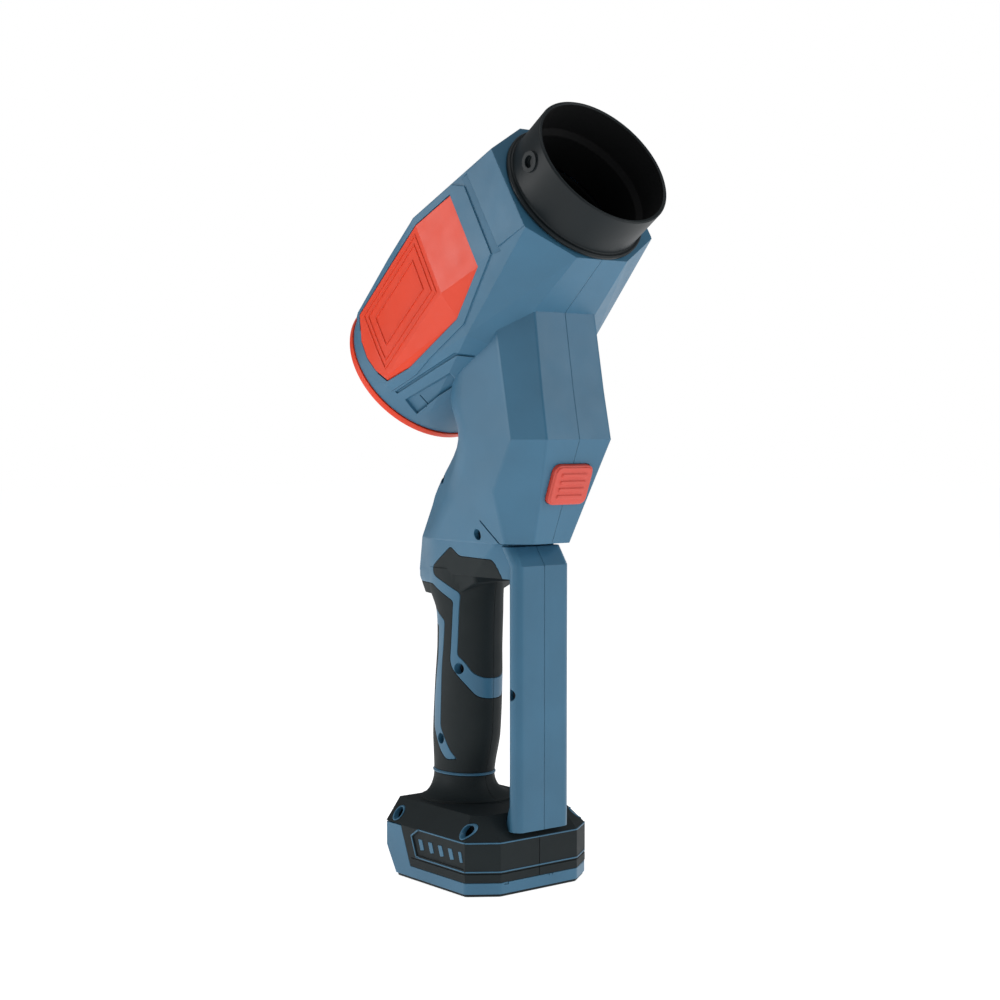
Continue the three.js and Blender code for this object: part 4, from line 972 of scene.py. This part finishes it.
# Blue plastic rims of the shell that show round the foot's screws.
for index, (x, z, depth) in enumerate(FOOT_SCREWS):
    for side in (-1, 1):
        rim = cross_pin(x, z, RIM_RADIUS, *sorted((side * (depth - 1), side * 46)))
        cut(rim, cross_pin(x, z, RIM_RADIUS - 0.7, -FAR, FAR))
        keep(rim, shoe_solid(0.35))
        cut(rim, shoe_solid(-2.4))
        name = f"screw_rim_{'front' if index == 0 else 'rear'}_{'right' if side < 0 else 'left'}"
        finish(rim, name, blue, bevel=0.15)

ring_x, ring_depth, ring_width = grip_at(FLARE_TOP + 1)
grip_ring = level_loft([
    (z, ellipse(ring_x, ring_depth + grow, ring_width + grow, 72))
    for z, grow in ((FLARE_TOP + 0.2, -0.4), (FLARE_TOP + 0.4, 1.2), (FLARE_TOP + 1.1, 1.2),
                    (FLARE_TOP + 1.4, -0.4))
])
finish(grip_ring, "grip_ring", blue)

# ================================================================ battery pack
SLOPE = [(FOOT_REAR + 12.71, -1), (FOOT_REAR + 12.7, 0), (FOOT_REAR, 20), (-FAR, 20), (-FAR, -1)]
tray = foot_block(0, PAD_HEIGHT + GAP, STRIP_TOP)
block = foot_block(0, STRIP_TOP - 1, BAND_TOP - GAP)
trim = [(BLOCK_FOOT, STRIP_TOP), (BLOCK_FOOT - 9, BAND_TOP), (FAR, BAND_TOP), (FAR, STRIP_TOP)]
cut(block, side_prism(trim))
walls = foot_block(-CORE_INSET, STRIP_TOP - 1, 26.2)
unite(tray, block, walls)
room = foot_block(-CORE_INSET - PACK_WALL, 3.3, 26.5)
mouth = keep(foot_block(-CORE_INSET - PACK_WALL, 3.3, FAR / 4), box(-31, FAR, -FAR, FAR, 0, FAR))
unite(room, mouth)
cut(room, side_prism(offset(SLOPE, PACK_WALL)))
cut(tray, room, side_prism(SLOPE))
for front, half in ((FOOT_REAR - 5, LATCH_WIDTH / 2), (FOOT_REAR + 2.5, LATCH_WIDTH / 2 + 2)):
    cut(tray, box(front, FOOT_REAR + 9, -half, half, LATCH_Z - 3, LATCH_Z + 3))
for y in (-1.2, 1.2):
    cut(tray, box(FOOT_FRONT - 0.5, FAR, 8 + y - 0.3, 8 + y + 0.3, STRIP_TOP - 0.8, STRIP_TOP + 1))
cut(tray, box(FOOT_FRONT - 0.5, FAR, -24, -21, STRIP_TOP - 1.2, STRIP_TOP + 1))
finish(tray, "pack_shell", blue, body="pack", bevel=0.45, angle=30, replaces=["pack_tray"])

sole = foot_block(-0.9, 0, PAD_HEIGHT)
cut(sole, side_prism(SLOPE))
for i in range(6):
    x = -30 + i * 10.5
    cut(sole, box(x, x + 1.2, -34, 34, -1, 0.4))
finish(sole, "sole_pad", rubber, body="pack", bevel=0.25, replaces=["base_pad"])

# ================================================================ collar
inner_radius = COLLAR_RADIUS - 2
spigot = COLLAR_RADIUS - 2.3
rear = HEAD_FRONT + GAP
shoulder = rear + FLANGE_THICKNESS
rim = shoulder + COLLAR_LENGTH
collar = turned([
    (spigot - 2, HEAD_FRONT - SPIGOT_LENGTH), (spigot - 2, HEAD_FRONT + 6),
    (inner_radius, HEAD_FRONT + 9), (inner_radius, rim - 0.5), (inner_radius + 0.5, rim),
    (COLLAR_RADIUS - 0.6, rim), (COLLAR_RADIUS, rim - 0.6), (COLLAR_RADIUS, shoulder + 1.0),
    (COLLAR_RADIUS + 0.3, shoulder + 0.3), (COLLAR_RADIUS + 1.0, shoulder),
    (FLANGE_RADIUS - 0.7, shoulder), (FLANGE_RADIUS, shoulder - 0.7), (FLANGE_RADIUS, rear + 0.6),
    (FLANGE_RADIUS - 0.6, rear), (spigot, rear), (spigot, HEAD_FRONT - SPIGOT_LENGTH),
], 160)
for side in (-1, 1):
    near, far = sorted((side * (COLLAR_RADIUS - 1.2), side * (COLLAR_RADIUS + 0.95)))
    unite(collar, cross_pin(BOSS_S, BOSS_T, 5.4, near, far, 40))
    near, far = sorted((side * (COLLAR_RADIUS - 1.1), side * (COLLAR_RADIUS + 4)))
    cut(collar, cross_pin(BOSS_S, BOSS_T, 3.1, near, far, 40))
collar = finish(in_duct(collar), "collar_tube", satin, bevel=0.25, angle=50, smooth=36,
                replaces=["outlet_collar"])
# The bore's inward faces get this second, near-black slot: painted shade inside the tube.
collar.data.materials.append(inner_black_and_painted_shade)
to_duct = DUCT.inverted()
for polygon in collar.data.polygons:
    spot = to_duct @ (polygon.center / MM)
    inward = -(to_duct.to_3x3() @ polygon.normal)
    across = Vector((0, spot.y, spot.z))
    if across.length < inner_radius + 0.2 and inward.dot(across.normalized()) > 0.5:
        polygon.material_index = 1

# ================================================================ inlet
inlet = turned([
    (INLET_RADIUS - 3.4, HEAD_REAR - 4.4), (INLET_RADIUS - 2.8, HEAD_REAR - 5),
    (INLET_RADIUS - 1.6, HEAD_REAR - 5), (INLET_RADIUS - 0.5, HEAD_REAR - 4.5),
    (INLET_RADIUS, HEAD_REAR - 3.5), (INLET_RADIUS, HEAD_REAR - GAP),
    (INLET_RADIUS - 3.4, HEAD_REAR - GAP),
], 144)
finish(in_duct(inlet), "inlet_ring_band", orange, replaces=["inlet_ring"])

face = HEAD_REAR - 4
guard = turned([(41.6, face), (44, face), (44, face + 2.4), (41.6, face + 2.4)], 96)
for radius in (35, 28, 21, 14):
    unite(guard, turned([
        (radius, face), (radius + 1.6, face), (radius + 1.6, face + 2.4), (radius, face + 2.4)
    ], 72))
unite(guard, turned([(0, face - 0.2), (7, face - 0.2), (7, face + 2.4), (0, face + 2.4)], 48))
for i in range(12):
    angle = 2 * math.pi * i / 12
    spoke = box(face + 0.4, face + 2.0, -0.8, 0.8, 5, 43)
    spoke.data.transform(Matrix.Rotation(angle, 4, "X"))
    unite(guard, spoke)
finish(in_duct(guard), "inlet_guard", dark, bevel=0.3, angle=40, replaces=["inlet_grille"])

# ================================================================ duct inside
mouth_radius = INLET_RADIUS - 4.2
flare = []
for i in range(13):
    u = i / 12
    a, b, c, d = (mouth_radius, -75), (mouth_radius - 5, -70), (35, -66), (35, -49)
    flare.append(tuple(
        (1 - u) ** 3 * a[k] + 3 * u * (1 - u) ** 2 * b[k]
        + 3 * u * u * (1 - u) * c[k] + u ** 3 * d[k]
        for k in range(2)
    ))
duct_outer = flare + [(FAN_RADIUS + 2, 59)]
duct_inner = [(r - 2, s) for r, s in duct_outer][::-1]
finish(in_duct(turned(duct_outer + duct_inner, 96)), "fan_tunnel", inner_black_and_painted_shade,
       replaces=["fan_duct"])

# ================================================================ power button
key = at_button(face_plate(BUTTON_WIDTH, BUTTON_HEIGHT, BUTTON_CORNER, -5, 2.2))
unite(key, at_button(face_plate(
    BUTTON_WIDTH - 1.6, BUTTON_HEIGHT - 1.6, BUTTON_CORNER - 0.6, 1.5, 3.1
)))
RIB_HALF = 8.6
for i in range(4):
    low, high = (i - 1.5) * 4.0 - 1.0, (i - 1.5) * 4.0 + 1.0
    outline = rounded(
        [(RIB_HALF, high), (-RIB_HALF, high), (-RIB_HALF, low), (RIB_HALF, low)], 0.9, 4
    )
    unite(key, at_button(loft([[(x, y, z) for y, z in outline] for x in (2.6, 3.9)])))
finish(key, "power_button_cap", button_red, body="power_button", bevel=0.55, angle=30, segments=3,
       replaces=["power_button"])

# ================================================================ CAD pieces that stay
LOOKS = {
    "stator_vanes": inner_black_and_painted_shade, "tail_cone": inner_black_and_painted_shade, "motor_can": aluminium,
    "motor_coils": copper, "rotor_shaft": steel, "bearing_rear": steel, "bearing_front": steel,
    "impeller": aluminium, "impeller_nut": steel, "button_spring": steel, "switch_body": dark,
    "control_board": board_green, "pack_lid": dark, "cell_1": wrap, "cell_2": wrap, "cell_3": wrap,
    "terminal_block": brass, "release_button": dark,
}
for name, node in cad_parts.items():
    look = LOOKS.get(name, screw_steel if name.startswith("screw_") else None)
    if look is None:
        continue
    node.data.materials.clear()
    node.data.materials.append(look)


# ================================================================ stage
def stage_material():
    material = bpy.data.materials.new("stage_paper")
    material.use_nodes = True
    nodes = material.node_tree.nodes
    links = material.node_tree.links
    shader = nodes["Principled BSDF"]
    shader.inputs["Roughness"].default_value = 0.9
    shader.inputs["Emission Color"].default_value = (1, 1, 1, 1)
    shader.inputs["Emission Strength"].default_value = 0.8
    fleck = nodes.new("ShaderNodeTexNoise")
    fleck.inputs["Scale"].default_value = 3.0
    tint = nodes.new("ShaderNodeValToRGB")
    tint.color_ramp.elements[0].color = (0.93, 0.93, 0.93, 1)
    tint.color_ramp.elements[1].color = (0.97, 0.97, 0.97, 1)
    links.new(fleck.outputs["Fac"], tint.inputs["Fac"])
    links.new(tint.outputs["Color"], shader.inputs["Base Color"])
    return material


bm = bmesh.new()
reach = 6.0
for x, y in ((-reach, -reach), (reach, -reach), (reach, reach), (-reach, reach)):
    bm.verts.new((x, y, -0.0003))
bm.faces.new(list(bm.verts))
floor = raw(bm, "floor")
floor.data.materials.append(stage_material())
floor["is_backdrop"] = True

world = bpy.data.worlds.new("studio")
world.use_nodes = True
sky = world.node_tree.nodes
backdrop = sky["Background"]
backdrop.inputs["Color"].default_value = (1.0, 1.0, 1.0, 1)
backdrop.inputs["Strength"].default_value = 1.0
fill = sky.new("ShaderNodeBackground")
fill.inputs["Color"].default_value = (0.94, 0.97, 1.0, 1)
fill.inputs["Strength"].default_value = 0.22
seen = sky.new("ShaderNodeLightPath")
either = sky.new("ShaderNodeMixShader")
world.node_tree.links.new(seen.outputs["Is Camera Ray"], either.inputs[0])
world.node_tree.links.new(fill.outputs[0], either.inputs[1])
world.node_tree.links.new(backdrop.outputs[0], either.inputs[2])
world.node_tree.links.new(either.outputs[0], sky["World Output"].inputs["Surface"])
bpy.context.scene.world = world


def softbox(name, place, target, width, height, power):
    data = bpy.data.lights.new(name, "AREA")
    data.shape = "RECTANGLE"
    data.size = width
    data.size_y = height
    data.energy = power
    lamp = bpy.data.objects.new(name, data)
    bpy.context.scene.collection.objects.link(lamp)
    lamp.location = place
    lamp.rotation_euler = (Vector(target) - Vector(place)).to_track_quat("-Z", "Y").to_euler()


middle = (0.0, 0.0, 0.22)
softbox("key", (-1.00, -1.20, 0.50), (0, 0, 0.33), 0.26, 0.7, 5.8)
softbox("top", (0.25, -0.1, 1.45), middle, 1.0, 1.0, 4)
softbox("front", (1.2, 0.9, 0.75), middle, 0.6, 0.9, 7)
softbox("near", (0.35, -1.5, 0.55), middle, 0.8, 0.8, 2)

camera_data = bpy.data.cameras.new("camera")
camera_data.sensor_width = 36.0
camera_data.lens = 64.18
camera_data.clip_end = 30.0
camera = bpy.data.objects.new("camera", camera_data)
bpy.context.scene.collection.objects.link(camera)
camera.location = (0.7620, -0.6076, 0.24639)
pitch = math.radians(2.278)
aim = Vector((-0.7810 * math.cos(pitch), 0.6245 * math.cos(pitch), -math.sin(pitch)))
camera.rotation_euler = aim.to_track_quat("-Z", "Y").to_euler()
bpy.context.scene.camera = camera
bpy.context.scene.view_settings.view_transform = "Standard"

low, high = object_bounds()
